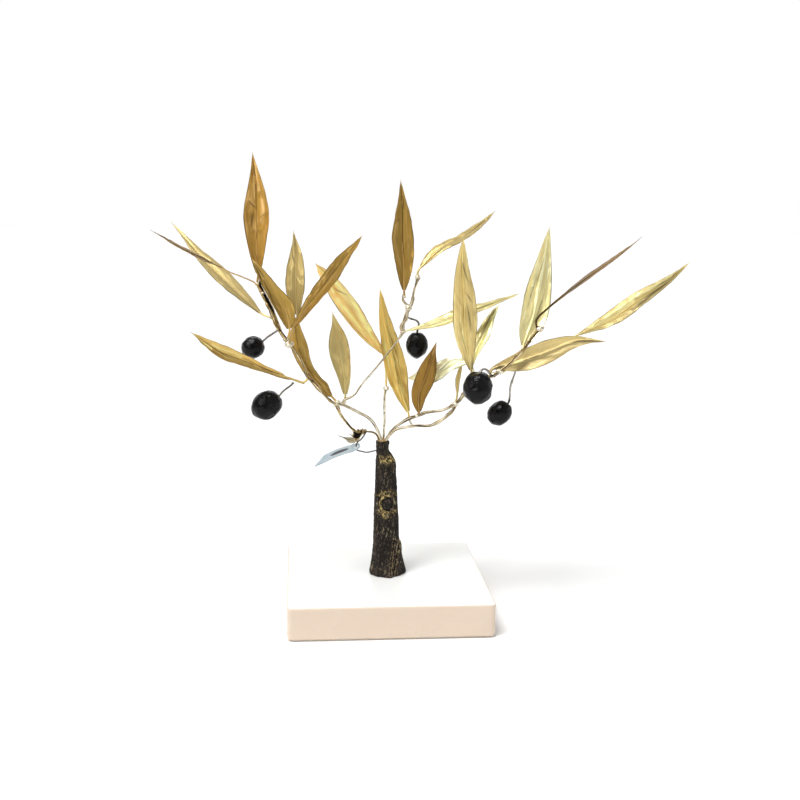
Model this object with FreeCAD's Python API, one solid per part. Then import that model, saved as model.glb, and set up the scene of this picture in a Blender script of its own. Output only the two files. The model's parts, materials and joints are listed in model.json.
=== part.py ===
import FreeCAD, Part
import math
import os

# A gilded olive tree ornament: brass leaves and black olives on brass wire
# branches, a bark-covered stick as trunk, and a square marble base.
# Millimetres. +Z up, -Y is the front, the origin is the centre of the underside.

Vec = FreeCAD.Vector

# Base
BASE_SIDE = 120.0
BASE_TOP = 20.0
FELT_THICKNESS = 1.0
FELT_INSET = 1.5
BASE_CORNER_RADIUS = 3.0
BASE_EDGE_RADIUS = 1.0

# Hidden fastening, driven up through the base into the trunk
SCREW_RADIUS = 2.5
SCREW_HEAD_RADIUS = 4.5
SCREW_HEAD_HEIGHT = 3.0
SCREW_TIP_Z = 50.0
SCREW_HOLE_RADIUS = 2.8
COUNTERBORE_RADIUS = 9.0
COUNTERBORE_DEPTH = 7.0
WASHER_RADIUS = 8.0
WASHER_THICKNESS = 1.2

# Trunk
TRUNK_TOP_Z = 104.0
SOCKET_X = -2.2
SOCKET_RADIUS = 3.2
SOCKET_BOTTOM_Z = 90.0
PLUG_TOP_Z = 105.0
KNOT_Z = 66.0
KNOT_HEIGHT = 1.3
KNOT_SPREAD = 4.0
BARK_RIDGES = ((3, 0.030, 0.4), (5, 0.022, 1.9), (8, 0.014, 0.7))
BARK_POINTS = 32

# Wire and sheet
OLIVE_WIRE_RADIUS = 0.6
STALK_RADIUS = 0.65
RIB_THICKNESS = 0.7
SHEET_THICKNESS = 0.35
LEAF_TIP_HALF_WIDTH = 0.3

# Hang tag
TAG_HOLE = Vec(-19.0, -15.0, 103.6)
TAG_LENGTH = 29.5
TAG_WIDTH = 11.0
TAG_THICKNESS = 0.4
TAG_POINT_LENGTH = 7.0
TAG_SLOPE_DEG = 23.0
TAG_ROLL_DEG = 8.0
TAG_HOLE_RADIUS = 1.4
TAG_HOLE_TO_END = 2.4
TAG_WIRE_RADIUS = 0.4

# Curled bract under the left branch
BRACT_POINT = Vec(-17.4, -4.6, 104.9)
BRACT_MOUTH = Vec(-18.5, -6.3, 109.6)
BRACT_MOUTH_RADIUS = 3.1
BRACT_WALL = 0.5

# Trunk outline: height, left side, right side, half depth
TRUNK_SECTIONS = (
    (20.0, -10.6, 13.0, 11.2),
    (22.0, -10.2, 12.6, 10.9),
    (26.0, -9.2, 11.4, 9.9),
    (34.0, -8.0, 9.8, 8.8),
    (47.0, -7.5, 8.2, 8.0),
    (57.0, -7.3, 7.8, 7.7),
    (62.0, -7.2, 7.4, 7.6),
    (66.0, -7.1, 7.2, 7.5),
    (70.0, -6.9, 7.0, 7.2),
    (76.0, -6.7, 6.6, 6.9),
    (85.0, -6.3, 6.0, 6.4),
    (90.0, -6.3, 5.9, 6.2),
    (93.0, -6.2, 4.8, 5.8),
    (96.0, -6.1, 2.9, 5.0),
    (99.0, -6.1, 1.6, 4.4),
    (TRUNK_TOP_Z, -6.1, 1.6, 4.2),
)

# Branches: the wire's radius at its start and its end, the centre line, and the
# places, as numbers of the points, where solder or a bud swells the wire.
BRANCHES = {
    "link_left": (0.9, 0.5, (
        (-4.4, 0.2, 97), (-4.4, 0.2, 104), (-6.4, 0.2, 108.3), (-11, -1, 109.8), (-14.6, -2.2, 110)), ()),
    "binding_left": (1.5, 1.5, (
        (-12.4, -1.5, 109.8), (-14.4, -2.2, 109.9), (-16.6, -3, 109.4)), ()),
    "branch_left_lower": (1.0, 0.9, (
        (-14.8, -2.4, 109.6), (-18, -3.2, 109.9), (-21.5, -4, 112.7), (-24.7, -5, 116.6),
        (-27.8, -6, 121), (-30.2, -8, 127.5)), (5,)),
    "branch_left_middle": (1.05, 1.05, (
        (-30.2, -8, 127.5), (-37.4, -10, 133.5), (-43.4, -12, 141.5), (-47, -12, 145),
        (-49.2, -12, 149.5), (-52, -13, 155.5), (-55.6, -13, 161.3), (-58.5, -13, 165)), (3, 7)),
    "branch_left_upper": (1.05, 0.9, (
        (-58.5, -13, 165), (-61, -13, 168), (-64.3, -11, 173), (-67.7, -9, 179.6),
        (-69.5, -8, 184), (-74, -6, 192.7), (-77, -4, 199)), (1, 3)),
    "branch_left_fork": (0.9, 1.0, (
        (-2.7, -1.8, 97), (-2.7, -1.8, 104), (-4.4, -1.8, 108.3), (-6.3, -1.8, 112.6),
        (-8.9, -3, 116.7), (-11.6, -4, 119.2), (-16.4, -6, 122.3), (-21.2, -7, 124.9),
        (-25.8, -8, 127.4), (-30.2, -8, 128.8)), (9,)),
    "branch_diagonal": (0.65, 0.6, (
        (-26.6, -8, 127.8), (-25.6, -8, 131.2), (-22.6, -9, 132), (-16.7, -9, 138.6),
        (-10.8, -9, 145.8), (-2.6, -9, 156), (5.6, -8.5, 166.7), (8.6, -8, 171.4)), (1, 7)),
    "twig_top": (0.95, 0.85, (
        (8.6, -8, 171.4), (7.9, -8, 175), (9.1, -8, 177.3), (10.3, -8, 180),
        (10.9, -7.8, 183.3), (12, -7, 186)), (1, 3, 5)),
    "twig_top_left": (0.6, 0.6, (
        (12, -7, 186), (9.7, -6.6, 188.3), (8.2, -6.2, 190), (9.1, -6, 193)), (1,)),
    "twig_top_right": (0.75, 0.65, (
        (12, -7, 186), (13.7, -6.7, 188.3), (14.5, -6, 193), (16.2, -4, 198.8),
        (17.4, -3, 203.4)), (1, 4)),
    "branch_upright": (0.75, 0.8, (
        (-1.7, 2.1, 97), (-1.6, 2.1, 104), (-0.9, 3, 116), (-0.8, 6, 124.8), (-0.3, 9, 132),
        (0.6, 10, 134.8)), (5,)),
    "branch_right_lower": (0.9, 0.85, (
        (-0.5, -1.3, 97), (-0.4, -1.3, 104), (2.8, -1.6, 108.6), (5.8, -1.8, 111.2),
        (9.5, -2, 112.2), (15.4, -2.4, 113.3), (21, -3.6, 113.8), (26.7, -5, 114.2),
        (30.2, -6, 116.2), (34.2, -7, 118.9), (37, -8, 121.8), (39.3, -9.2, 124.4),
        (40.1, -10.5, 128.2)), (8, 10, 12)),
    "branch_right_inner": (0.85, 0.85, (
        (-0.3, 0.9, 97), (-0.2, 1, 104), (2.6, 1.2, 108.8), (5.8, 1, 112.3), (9.5, 0.4, 114.9),
        (13.6, -1, 117.8), (18.3, -3, 119.7), (22, -4.2, 121.6), (26, -5, 122.6),
        (31.7, -7, 123.6), (35.7, -9, 125.4), (40.1, -11, 128.6)), (5, 7, 11)),
    "branch_right_middle": (1.0, 1.05, (
        (40.1, -11, 128.6), (42.8, -13, 131.5), (45.8, -16, 137.3), (51.2, -19, 142.6),
        (57.9, -21.5, 146.4), (61, -23.2, 148.4), (64.5, -25, 150.6)), (2, 5)),
    "branch_right_outer": (1.05, 0.95, (
        (64.5, -25, 150.6), (68, -26, 153.8), (71.6, -26, 157), (75.4, -26, 161),
        (78, -26, 164), (81.2, -26, 169), (84.1, -26, 172.8), (87, -25.4, 175.9)), (3, 7)),
    "twig_spur": (0.6, 0.5, (
        (13.6, -1, 117.8), (14.4, -1, 115.4), (16.2, -1.6, 112.9)), ()),
}

# Olives: centre, the point where the stem enters, length and diameter, and the
# stem's centre line from the fruit to the branch.
OLIVES = {
    "left_upper": ((-80, 4, 160.4), (-74, 3, 164.2), 14.0, 12.8, (
        (-75, 3.2, 163.6), (-74, 3, 164.4), (-70.9, -1, 167.4), (-67.9, -5, 170), (-64.9, -9.5, 172.6))),
    "left_lower": ((-71.8, -16, 129.1), (-63.9, -15.5, 134.6), 18.4, 15.6, (
        (-66, -15.6, 132.9), (-64.2, -15.5, 134.6), (-62.2, -15, 137), (-59.8, -14.5, 138.9),
        (-57.4, -14, 140.6), (-55.6, -13.2, 143.2))),
    "centre": ((18.2, 3, 162), (18.2, 3, 169.8), 15.4, 12.9, (
        (18.2, 3, 168.6), (18.3, 3, 171), (19.2, 1.8, 174), (17.8, -2, 177.2), (14.4, -6, 178.8),
        (10.6, -8, 180.2))),
    "right_front": ((50.5, -31, 141.7), (51.3, -31, 151.2), 18.8, 17.0, (
        (51.2, -31, 150), (51.9, -30.8, 152), (54, -29, 152.8), (57, -25.8, 150.6),
        (59.4, -22.6, 147.8))),
    "right_lower": ((67, -12, 123), (72.6, -12, 128.6), 16.0, 13.2, (
        (71.6, -12, 127.8), (72.7, -12, 130.2), (72.9, -12.5, 137.2), (73.6, -13, 141.5),
        (74.6, -14.6, 146), (75.4, -16, 150), (74.6, -16.8, 153.6))),
}

# Leaves. stalk: centre line from the wire to the foot of the blade, whose last
# point is the blade's foot. tip: the point of the blade. sway: how far the rib
# stands to the right of the straight line at 1/4, 1/2 and 3/4 of the length.
# half: half widths at 1/10, 3/10, 5/10, 7/10 and 9/10 of the length. turn: how
# far the blade is turned about its rib, from foot to tip, in degrees. arch: how
# far the rib bows forward. fold: how far each side is folded forward, in degrees.
LEAVES = {
    "leaf_left_top": dict(
        stalk=((-77, -4, 199), (-76.6, -4, 201.5), (-76.2, -4.2, 203.5)), tip=(-78.5, -14, 273.3),
        sway=(-0.2, 0.4, 1.0), half=(3.0, 5.9, 7.6, 5.2, 1.5), turn=(-12, 8), arch=-2, fold=10),
    "leaf_left_thin": dict(
        stalk=((-73.4, -6.6, 193.6), (-78, -8, 200.2), (-86.4, -11, 204), (-93, -13, 206.5),
               (-96, -14, 208.7)),
        tip=(-131.5, -46, 230.6), sway=(-0.7, -1.2, -0.7), half=(2.2, 5.2, 6.4, 5.0, 2.0),
        turn=(-90, -88), arch=0, fold=6),
    "leaf_left_back": dict(
        stalk=((-67.7, -9, 179.6), (-71, -7.6, 180.4), (-74.2, -6, 181.2)), tip=(-128, 24, 232.6),
        sway=(-1.0, -1.6, -1.2), half=(3.0, 6.0, 5.8, 3.8, 1.0), turn=(-48, -54), arch=2, fold=10),
    "leaf_left_low": dict(
        stalk=((-46.9, -12, 144.8), (-49.8, -13, 141.6), (-52.4, -13.2, 142.4), (-55.7, -13.4, 143.9)),
        tip=(-112, -41, 175), sway=(-1.3, -2.0, -2.8), half=(1.6, 2.8, 4.2, 5.2, 2.1),
        turn=(-56, -42), arch=3, fold=14),
    "leaf_left_short": dict(
        stalk=((-59.6, -13.4, 167.2), (-58.6, -14.6, 170), (-57.9, -15.4, 173)), tip=(-78.8, -13, 213.4),
        sway=(3.1, 1.8, 0.8), half=(4.0, 6.3, 4.9, 3.8, 1.9), turn=(-30, -38), arch=2, fold=8),
    "leaf_left_upright": dict(
        stalk=((-59, -12.6, 166), (-55.6, -9, 173), (-53.4, -6, 180)), tip=(-55.7, 6, 228.7),
        sway=(-0.4, 0.1, 1.0), half=(2.6, 6.2, 6.2, 4.8, 1.3), turn=(24, 30), arch=1, fold=8),
    "leaf_left_crossing": dict(
        stalk=((-58, -14, 165), (-57.4, -18, 169.6), (-56.7, -19.4, 174.4)), tip=(-17.6, -34, 228.5),
        sway=(-0.5, 0.0, -0.3), half=(2.6, 4.4, 5.7, 5.4, 2.0), turn=(46, 52), arch=1, fold=10),
    "leaf_left_creased": dict(
        stalk=((-30.2, -7.2, 128.4), (-31.4, -5.6, 130.4), (-33, -5.2, 132)), tip=(-55.0, -4, 179),
        sway=(-5.4, -6.9, -5.2), half=(4.0, 4.0, 4.9, 6.6, 3.9), turn=(-38, -42), arch=-1, fold=16),
    "leaf_centre_back": dict(
        stalk=((0.5, 10, 134.8), (0.5, 12.6, 144), (-0.2, 14, 154.4)), tip=(-42.1, 24, 208.9),
        sway=(-1.1, -0.7, -0.1), half=(2.7, 5.5, 6.6, 5.9, 3.2), turn=(-24, -28), arch=2, fold=10),
    "leaf_centre_small": dict(
        stalk=((-25.8, -8, 128.6), (-25.4, -7.6, 130.4), (-25.2, -7, 132.4)), tip=(-32.8, 0, 181.6),
        sway=(1.2, 0.7, 0.9), half=(2.3, 4.5, 6.3, 5.4, 1.5), turn=(14, 8), arch=2, fold=8),
    "leaf_centre_front": dict(
        stalk=((13.6, -1, 117.6), (13.7, -0.4, 118.8), (13.6, 0, 120.4)), tip=(-4, 9, 195.2),
        sway=(-1.8, -1.8, -1.7), half=(3.0, 6.8, 6.5, 4.6, 1.8), turn=(-16, -24), arch=2, fold=8),
    "leaf_centre_dark": dict(
        stalk=((18.3, -3, 119.7), (18.8, -3.6, 120.6), (19.4, -4, 121.6)), tip=(27.9, -12, 165.7),
        sway=(-2.9, -1.6, -0.7), half=(2.9, 5.2, 5.8, 4.6, 1.1), turn=(-8, 10), arch=1, fold=6),
    "leaf_top": dict(
        stalk=((9.1, -6, 192), (9.2, -6, 193.4), (9.1, -5.8, 195)), tip=(7, 4, 259.1),
        sway=(0.5, 0.1, 0.7), half=(3.4, 6.3, 7.0, 4.9, 1.5), turn=(-16, -22), arch=-2, fold=8),
    "leaf_top_right": dict(
        stalk=((17.4, -3, 203.4), (17, -2.6, 206), (18, -2.2, 208)), tip=(66.2, 22, 241.4),
        sway=(-2.2, 0.5, 1.2), half=(3.2, 5.0, 4.7, 4.1, 1.6), turn=(62, 66), arch=3, fold=10),
    "leaf_right_tall": dict(
        stalk=((51, -19.4, 142.6), (48.8, -21.4, 146.2), (47.9, -22, 149.6)), tip=(39.6, -32, 227.8),
        sway=(-1.8, -1.2, -1.5), half=(3.1, 6.8, 7.1, 5.1, 2.1), turn=(8, -8), arch=-3, fold=10),
    "leaf_right_level": dict(
        stalk=((8.6, -8, 171.8), (9.8, -8, 172.1), (11.4, -7.8, 172.3)), tip=(80.9, 10, 192.6),
        sway=(1.0, 0.0, 0.0), half=(1.9, 5.0, 4.4, 2.6, 1.1), turn=(54, 62), arch=4, fold=8),
    "leaf_right_back": dict(
        stalk=((54, -19, 144.4), (51.6, -12.6, 146), (49.3, -8, 148.6)), tip=(68.5, 12, 185),
        sway=(-1.9, -1.4, -1.4), half=(1.6, 3.8, 4.9, 3.3, 1.7), turn=(40, 46), arch=2, fold=12),
    "leaf_right_behind": dict(
        stalk=((50.6, -17.6, 142.8), (50.6, -14, 149), (47.6, -12, 154.6)), tip=(14, 6, 141.5),
        sway=(1.5, -0.9, -1.0), half=(3.0, 4.5, 5.7, 5.8, 2.1), turn=(-34, -24), arch=2, fold=8),
    "leaf_right_broad": dict(
        stalk=((76.6, -25.8, 162.2), (77.1, -24.3, 163), (77.5, -23.2, 164.6)), tip=(93.4, -12, 233.3),
        sway=(2.9, 2.4, 1.4), half=(5.2, 8.2, 7.5, 5.1, 2.0), turn=(10, -6), arch=-3, fold=10),
    "leaf_right_edgewise": dict(
        stalk=((85.6, -25.8, 174.6), (83.6, -27.6, 180.4), (85.3, -29, 183.6), (88.5, -30, 186.5),
               (92, -30.4, 190)),
        tip=(136.8, -50, 229.6), sway=(0.0, 0.1, 0.6), half=(2.4, 5.6, 6.6, 5.4, 2.0),
        turn=(94, 90), arch=0, fold=4),
    "leaf_right_low": dict(
        stalk=((59, -21.6, 147.4), (58.4, -20.8, 149.6), (60.4, -20.8, 151.8)), tip=(124.2, -34, 169.4),
        sway=(0.7, -1.3, -3.7), half=(3.2, 6.7, 6.9, 4.4, 1.1), turn=(16, 26), arch=-3, fold=12),
    "leaf_right_far": dict(
        stalk=((64.2, -24.4, 149.9), (65.6, -21, 148.6), (69, -18, 150), (75.4, -16.6, 154), (84, -16.4, 158),
               (97, -17, 163), (105, -17.8, 167), (111, -18, 171)),
        tip=(183.9, 2, 213.3), sway=(2.7, 1.7, 1.8), half=(2.6, 5.6, 5.3, 3.3, 1.1),
        turn=(42, 48), arch=3, fold=10),
    "leaf_right_bud": dict(
        stalk=((40.1, -10.6, 128.6), (40.9, -10.4, 130.4), (41.4, -10, 132)), tip=(44.2, -8, 155.9),
        sway=(-0.6, -0.2, 0.0), half=(1.4, 3.0, 3.4, 2.8, 1.2), turn=(84, 70), arch=1, fold=10),
    "bract_spike": dict(
        stalk=((-17.6, -4.8, 105.8), (-18.6, -5.6, 105), (-19.8, -6.2, 104.6)), tip=(-28.7, -8, 108.7),
        sway=(0.8, 0.6, 0.2), half=(1.8, 3.0, 1.4, 0.5, 0.4), turn=(20, 20), arch=1, fold=20),
}
BLADE_STATIONS = (0.04, 0.10, 0.18, 0.28, 0.38, 0.48, 0.58, 0.68, 0.78, 0.88, 0.95, 1.0)


def hermite(xs, ys, x):
    """Value at x of a smooth curve through the points (xs, ys)."""
    last = len(xs) - 1
    i = 0
    while i < last - 1 and x > xs[i + 1]:
        i += 1
    slopes = []
    for k in (i, i + 1):
        low = max(k - 1, 0)
        high = min(k + 1, last)
        slopes.append((ys[high] - ys[low]) / (xs[high] - xs[low]))
    span = xs[i + 1] - xs[i]
    t = (x - xs[i]) / span
    rise = (2 * t - 3) * t * t
    start = ys[i] * (1 + rise) + slopes[0] * span * t * (1 - t) ** 2
    end = -ys[i + 1] * rise - slopes[1] * span * t * t * (1 - t)
    return start + end


def section_frame(direction, across):
    """Unit vectors across and in front of a section whose normal is direction."""
    across = across - direction * across.dot(direction)
    across.normalize()
    return across, across.cross(direction)


def path_directions(points):
    """Direction of travel at each point of a centre line."""
    directions = []
    for i in range(len(points)):
        before = points[max(i - 1, 0)]
        after = points[min(i + 1, len(points) - 1)]
        directions.append((after - before).normalize())
    return directions


def solid_from_sections(wires, ruled):
    """One closed solid through closed wires."""
    solid = Part.makeLoft(wires, True, ruled)
    if solid.Volume < 0:
        solid.reverse()
    return solid


def smooth_path(points, steps):
    """Points along a smooth curve through the given points, steps to each span."""
    curve = Part.BSplineCurve()
    curve.interpolate(points)
    stops = [curve.parameter(p) for p in points]
    path = []
    for low, high in zip(stops, stops[1:]):
        for k in range(steps):
            path.append(curve.value(low + (high - low) * k / steps))
    path.append(points[-1])
    return path


def wire_piece(radius, end_radius, points, lumps=()):
    """A round wire through points, swollen at the numbered points."""
    steps = 2
    path = smooth_path([Vec(*p) for p in points], steps)
    across = Vec(0, 1, 0)
    wires = []
    for i, (point, direction) in enumerate(zip(path, path_directions(path))):
        across, front = section_frame(direction, across)
        share = i / (len(path) - 1)
        r = radius + (end_radius - radius) * share
        for lump in lumps:
            r += 0.55 * radius * math.exp(-(1.4 * (i - lump * steps) / steps) ** 2)
        circle = Part.makeCircle(r, Vec(0, 0, 0), Vec(0, 0, 1))
        turned = FreeCAD.Rotation(across, front * -1, direction, "ZXY")
        circle.Placement = FreeCAD.Placement(point, turned)
        wires.append(Part.Wire([circle]))
    return solid_from_sections(wires, True)


def leaf_piece(stalk, tip, sway, half, turn, arch, fold):
    """A leaf of thin sheet: a short round stalk that widens into a folded blade."""
    foot = Vec(*stalk[-1])
    chord = Vec(*tip) - foot
    along = Vec(chord).normalize()
    right = Vec(0, 1, 0).cross(along).normalize()
    front = right.cross(along)
    points = [Vec(*p) for p in stalk[:-1]]
    widths = [STALK_RADIUS] * len(points)
    rib_thickness = [2 * STALK_RADIUS] * len(points)
    rim_thickness = [STALK_RADIUS] * len(points)
    turns = [turn[0]] * len(points)
    folds = [0.0] * len(points)
    for s in (0.0,) + BLADE_STATIONS:
        aside = hermite((0, 0.25, 0.5, 0.75, 1), (0,) + sway + (0,), s)
        forward = arch * 4 * s * (1 - s)
        points.append(foot + chord * s + right * aside + front * forward)
        blade = min(1.0, s / 0.12)
        stations = (0, 0.1, 0.3, 0.5, 0.7, 0.9, 1)
        spread = hermite(stations, (STALK_RADIUS,) + half + (LEAF_TIP_HALF_WIDTH,), s)
        widths.append(max(spread, LEAF_TIP_HALF_WIDTH))
        taper = 1 - 0.35 * s
        thick = 2 * STALK_RADIUS + (RIB_THICKNESS - 2 * STALK_RADIUS) * blade
        rib_thickness.append(thick * taper)
        rim_thickness.append(STALK_RADIUS + (SHEET_THICKNESS - STALK_RADIUS) * blade)
        turns.append(turn[0] + (turn[1] - turn[0]) * s)
        folds.append(fold * blade)
    sections = []
    directions = path_directions(points)
    for i, point in enumerate(points):
        angle = math.radians(turns[i])
        facing = right * math.cos(angle) + front * math.sin(angle)
        across, out = section_frame(directions[i], facing)
        bend = math.radians(folds[i])
        side = across * (widths[i] * math.cos(bend))
        lift = out * (widths[i] * math.sin(bend))
        rib = out * (rib_thickness[i] / 2)
        rim = out * (rim_thickness[i] / 2)
        left_rim = point - side + lift
        right_rim = point + side + lift
        corners = [left_rim + rim, point + rib, right_rim + rim]
        corners += [right_rim - rim, point - rib, left_rim - rim]
        sections.append(Part.makePolygon(corners + corners[:1]))
    return solid_from_sections(sections, True)


def olive_piece(centre, stem_point, length, diameter):
    """An olive: an oval turned about the line from its stem to its pointed end."""
    r = diameter / 2
    top = length / 2
    profile = [
        Vec(0, 0, top - 0.5), Vec(0.28 * r, 0, top - 0.1), Vec(0.72 * r, 0, 0.74 * top),
        Vec(r, 0, 0.12 * top), Vec(0.88 * r, 0, -0.5 * top), Vec(0.45 * r, 0, -0.88 * top),
        Vec(0, 0, -top),
    ]
    curve = Part.BSplineCurve()
    curve.interpolate(profile)
    outline = Part.Wire([curve.toShape(), Part.makeLine(profile[-1], profile[0])])
    olive = Part.Face(outline).revolve(Vec(0, 0, 0), Vec(0, 0, 1), 360)
    axis = Vec(*stem_point) - Vec(*centre)
    olive.Placement = FreeCAD.Placement(Vec(*centre), FreeCAD.Rotation(Vec(0, 0, 1), axis))
    return olive


def trunk_section(z, left, right, depth):
    """One level of the bark, uneven all round, with the knot on the front."""
    centre_x = (left + right) / 2
    half_width = (right - left) / 2
    points = []
    for k in range(BARK_POINTS):
        a = 2 * math.pi * k / BARK_POINTS
        rough = 1.0
        for count, depth_share, phase in BARK_RIDGES:
            rough += depth_share * math.sin(count * a + phase + 0.02 * z)
        x = centre_x + half_width * rough * math.cos(a)
        y = depth * rough * math.sin(a)
        away = math.hypot(half_width * (a - 1.5 * math.pi), z - KNOT_Z) / KNOT_SPREAD
        y -= KNOT_HEIGHT * math.exp(-away * away)
        points.append(Vec(x, y, z))
    curve = Part.BSplineCurve()
    curve.interpolate(points, PeriodicFlag=True)
    return Part.Wire([curve.toShape()])


def make_trunk():
    sections = [trunk_section(*row) for row in TRUNK_SECTIONS]
    trunk = solid_from_sections(sections, False)
    socket_depth = TRUNK_TOP_Z + 1 - SOCKET_BOTTOM_Z
    socket = Part.makeCylinder(SOCKET_RADIUS, socket_depth, Vec(SOCKET_X, 0, SOCKET_BOTTOM_Z))
    pilot = Part.makeCylinder(SCREW_RADIUS, SCREW_TIP_Z - BASE_TOP + 1, Vec(0, 0, BASE_TOP - 1))
    return trunk.cut(socket).cut(pilot)


def make_glue_plug():
    """Resin that holds the wire ends in the trunk's socket, domed on top."""
    barrel_height = TRUNK_TOP_Z - SOCKET_BOTTOM_Z
    barrel = Part.makeCylinder(SOCKET_RADIUS, barrel_height, Vec(SOCKET_X, 0, SOCKET_BOTTOM_Z))
    dome_height = PLUG_TOP_Z - TRUNK_TOP_Z
    dome = Part.makeCone(SOCKET_RADIUS, 0.6 * SOCKET_RADIUS, dome_height, Vec(SOCKET_X, 0, TRUNK_TOP_Z))
    return barrel.fuse(dome).removeSplitter()


def rounded_slab(side, bottom, top, corner_radius, edge_radius):
    """A square slab with rounded upright corners and softened edges."""
    slab = Part.makeBox(side, side, top - bottom, Vec(-side / 2, -side / 2, bottom))
    upright = [e for e in slab.Edges if abs(e.BoundBox.ZLength - (top - bottom)) < 0.01]
    slab = slab.makeFillet(corner_radius, upright)
    if edge_radius:
        level = [e for e in slab.Edges if e.BoundBox.ZLength < 0.01]
        slab = slab.makeFillet(edge_radius, level)
    return slab


def make_marble_base():
    slab = rounded_slab(BASE_SIDE, FELT_THICKNESS, BASE_TOP, BASE_CORNER_RADIUS, BASE_EDGE_RADIUS)
    hole = Part.makeCylinder(SCREW_HOLE_RADIUS, BASE_TOP + 2, Vec(0, 0, -1))
    bore_height = COUNTERBORE_DEPTH + 1
    bore = Part.makeCylinder(COUNTERBORE_RADIUS, bore_height, Vec(0, 0, FELT_THICKNESS - 1))
    return slab.cut(hole).cut(bore)


def make_felt_sheet():
    side = BASE_SIDE - 2 * FELT_INSET
    return rounded_slab(side, 0, FELT_THICKNESS, BASE_CORNER_RADIUS, 0)


def make_washer():
    seat = FELT_THICKNESS + COUNTERBORE_DEPTH - WASHER_THICKNESS
    disc = Part.makeCylinder(WASHER_RADIUS, WASHER_THICKNESS, Vec(0, 0, seat))
    return disc.cut(Part.makeCylinder(SCREW_HOLE_RADIUS, WASHER_THICKNESS, Vec(0, 0, seat)))


def make_screw():
    seat = FELT_THICKNESS + COUNTERBORE_DEPTH - WASHER_THICKNESS
    head = Part.makeCylinder(SCREW_HEAD_RADIUS, SCREW_HEAD_HEIGHT, Vec(0, 0, seat - SCREW_HEAD_HEIGHT))
    slot = Part.makeBox(2 * SCREW_HEAD_RADIUS, 1.0, 1.2)
    slot.translate(Vec(-SCREW_HEAD_RADIUS, -0.5, seat - SCREW_HEAD_HEIGHT))
    point_length = 2 * SCREW_RADIUS
    shank = Part.makeCylinder(SCREW_RADIUS, SCREW_TIP_Z - point_length - seat, Vec(0, 0, seat))
    point = Part.makeCone(SCREW_RADIUS, 0.3, point_length, Vec(0, 0, SCREW_TIP_Z - point_length))
    return head.fuse(shank).fuse(point).cut(slot).removeSplitter()


def make_tag_card():
    """A narrow card with one pointed end, sloping down to the left from its hole."""
    half = TAG_WIDTH / 2
    inner = TAG_HOLE_TO_END
    outer = inner - TAG_LENGTH
    shoulder = outer + TAG_POINT_LENGTH
    outline = [
        Vec(inner, -0.5 * half, 0), Vec(inner, 0.5 * half, 0), Vec(inner - 3, half, 0),
        Vec(shoulder, half, 0), Vec(outer, 0.1 * half, 0), Vec(outer, -0.1 * half, 0),
        Vec(shoulder, -half, 0), Vec(inner - 3, -half, 0),
    ]
    face = Part.Face(Part.makePolygon(outline + outline[:1]))
    card = face.extrude(Vec(0, 0, TAG_THICKNESS))
    card = card.cut(Part.makeCylinder(TAG_HOLE_RADIUS, 4, Vec(0, 0, -2)))
    card.translate(Vec(0, 0, -TAG_THICKNESS / 2))
    slope = FreeCAD.Rotation(Vec(0, 1, 0), -TAG_SLOPE_DEG)
    roll = FreeCAD.Rotation(Vec(1, 0, 0), TAG_ROLL_DEG)
    card.Placement = FreeCAD.Placement(TAG_HOLE, slope * roll)
    return card


def make_tag_wire():
    """Dark binding wire: from the branch, down through the card and back to the trunk."""
    hole = TAG_HOLE
    points = (
        (-12.6, -3.4, 109.9), (-14.2, -5.6, 107.8), (-16.5, -10.4, 106.6),
        (hole.x + 0.2, hole.y, hole.z + 1.9), (hole.x, hole.y, hole.z), (hole.x + 0.5, hole.y, hole.z - 1.9),
        (-16.6, -13, 100.6), (-13, -10.6, 99.2), (-9.8, -8.2, 99), (-6.2, -5.2, 99.1),
    )
    return wire_piece(TAG_WIRE_RADIUS, TAG_WIRE_RADIUS, points)


def make_bract_cup():
    """A dry bract curled into a small open cone, soldered under the branch."""
    axis = BRACT_MOUTH - BRACT_POINT
    height = axis.Length
    outside = Part.makeCone(0.5, BRACT_MOUTH_RADIUS, height)
    inside_radius = BRACT_MOUTH_RADIUS - BRACT_WALL
    inside = Part.makeCone(0.1, inside_radius, height - BRACT_WALL, Vec(0, 0, BRACT_WALL + 0.01))
    cup = outside.cut(inside)
    cup.Placement = FreeCAD.Placement(BRACT_POINT, FreeCAD.Rotation(Vec(0, 0, 1), axis))
    return cup


def collect_pieces():
    pieces = {
        "marble_base": make_marble_base(),
        "felt_sheet": make_felt_sheet(),
        "base_screw": make_screw(),
        "screw_washer": make_washer(),
        "trunk": make_trunk(),
        "glue_plug": make_glue_plug(),
        "tag_card": make_tag_card(),
        "tag_wire": make_tag_wire(),
        "bract_cup": make_bract_cup(),
    }
    for name, shape in BRANCHES.items():
        pieces[name] = wire_piece(*shape)
    for name, (centre, stem_point, length, diameter, stem) in OLIVES.items():
        pieces["olive_" + name] = olive_piece(centre, stem_point, length, diameter)
        pieces["olive_stem_" + name] = wire_piece(OLIVE_WIRE_RADIUS, OLIVE_WIRE_RADIUS, stem)
    for name, shape in LEAVES.items():
        pieces[name] = leaf_piece(**shape)
    return pieces


def main():
    os.makedirs("parts", exist_ok=True)
    for name, shape in collect_pieces().items():
        shape.exportStep("parts/" + name + ".step")


main()
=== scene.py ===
import json
import math

import bmesh
import bpy
import numpy as np
from mathutils import Matrix, Vector, noise


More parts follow.
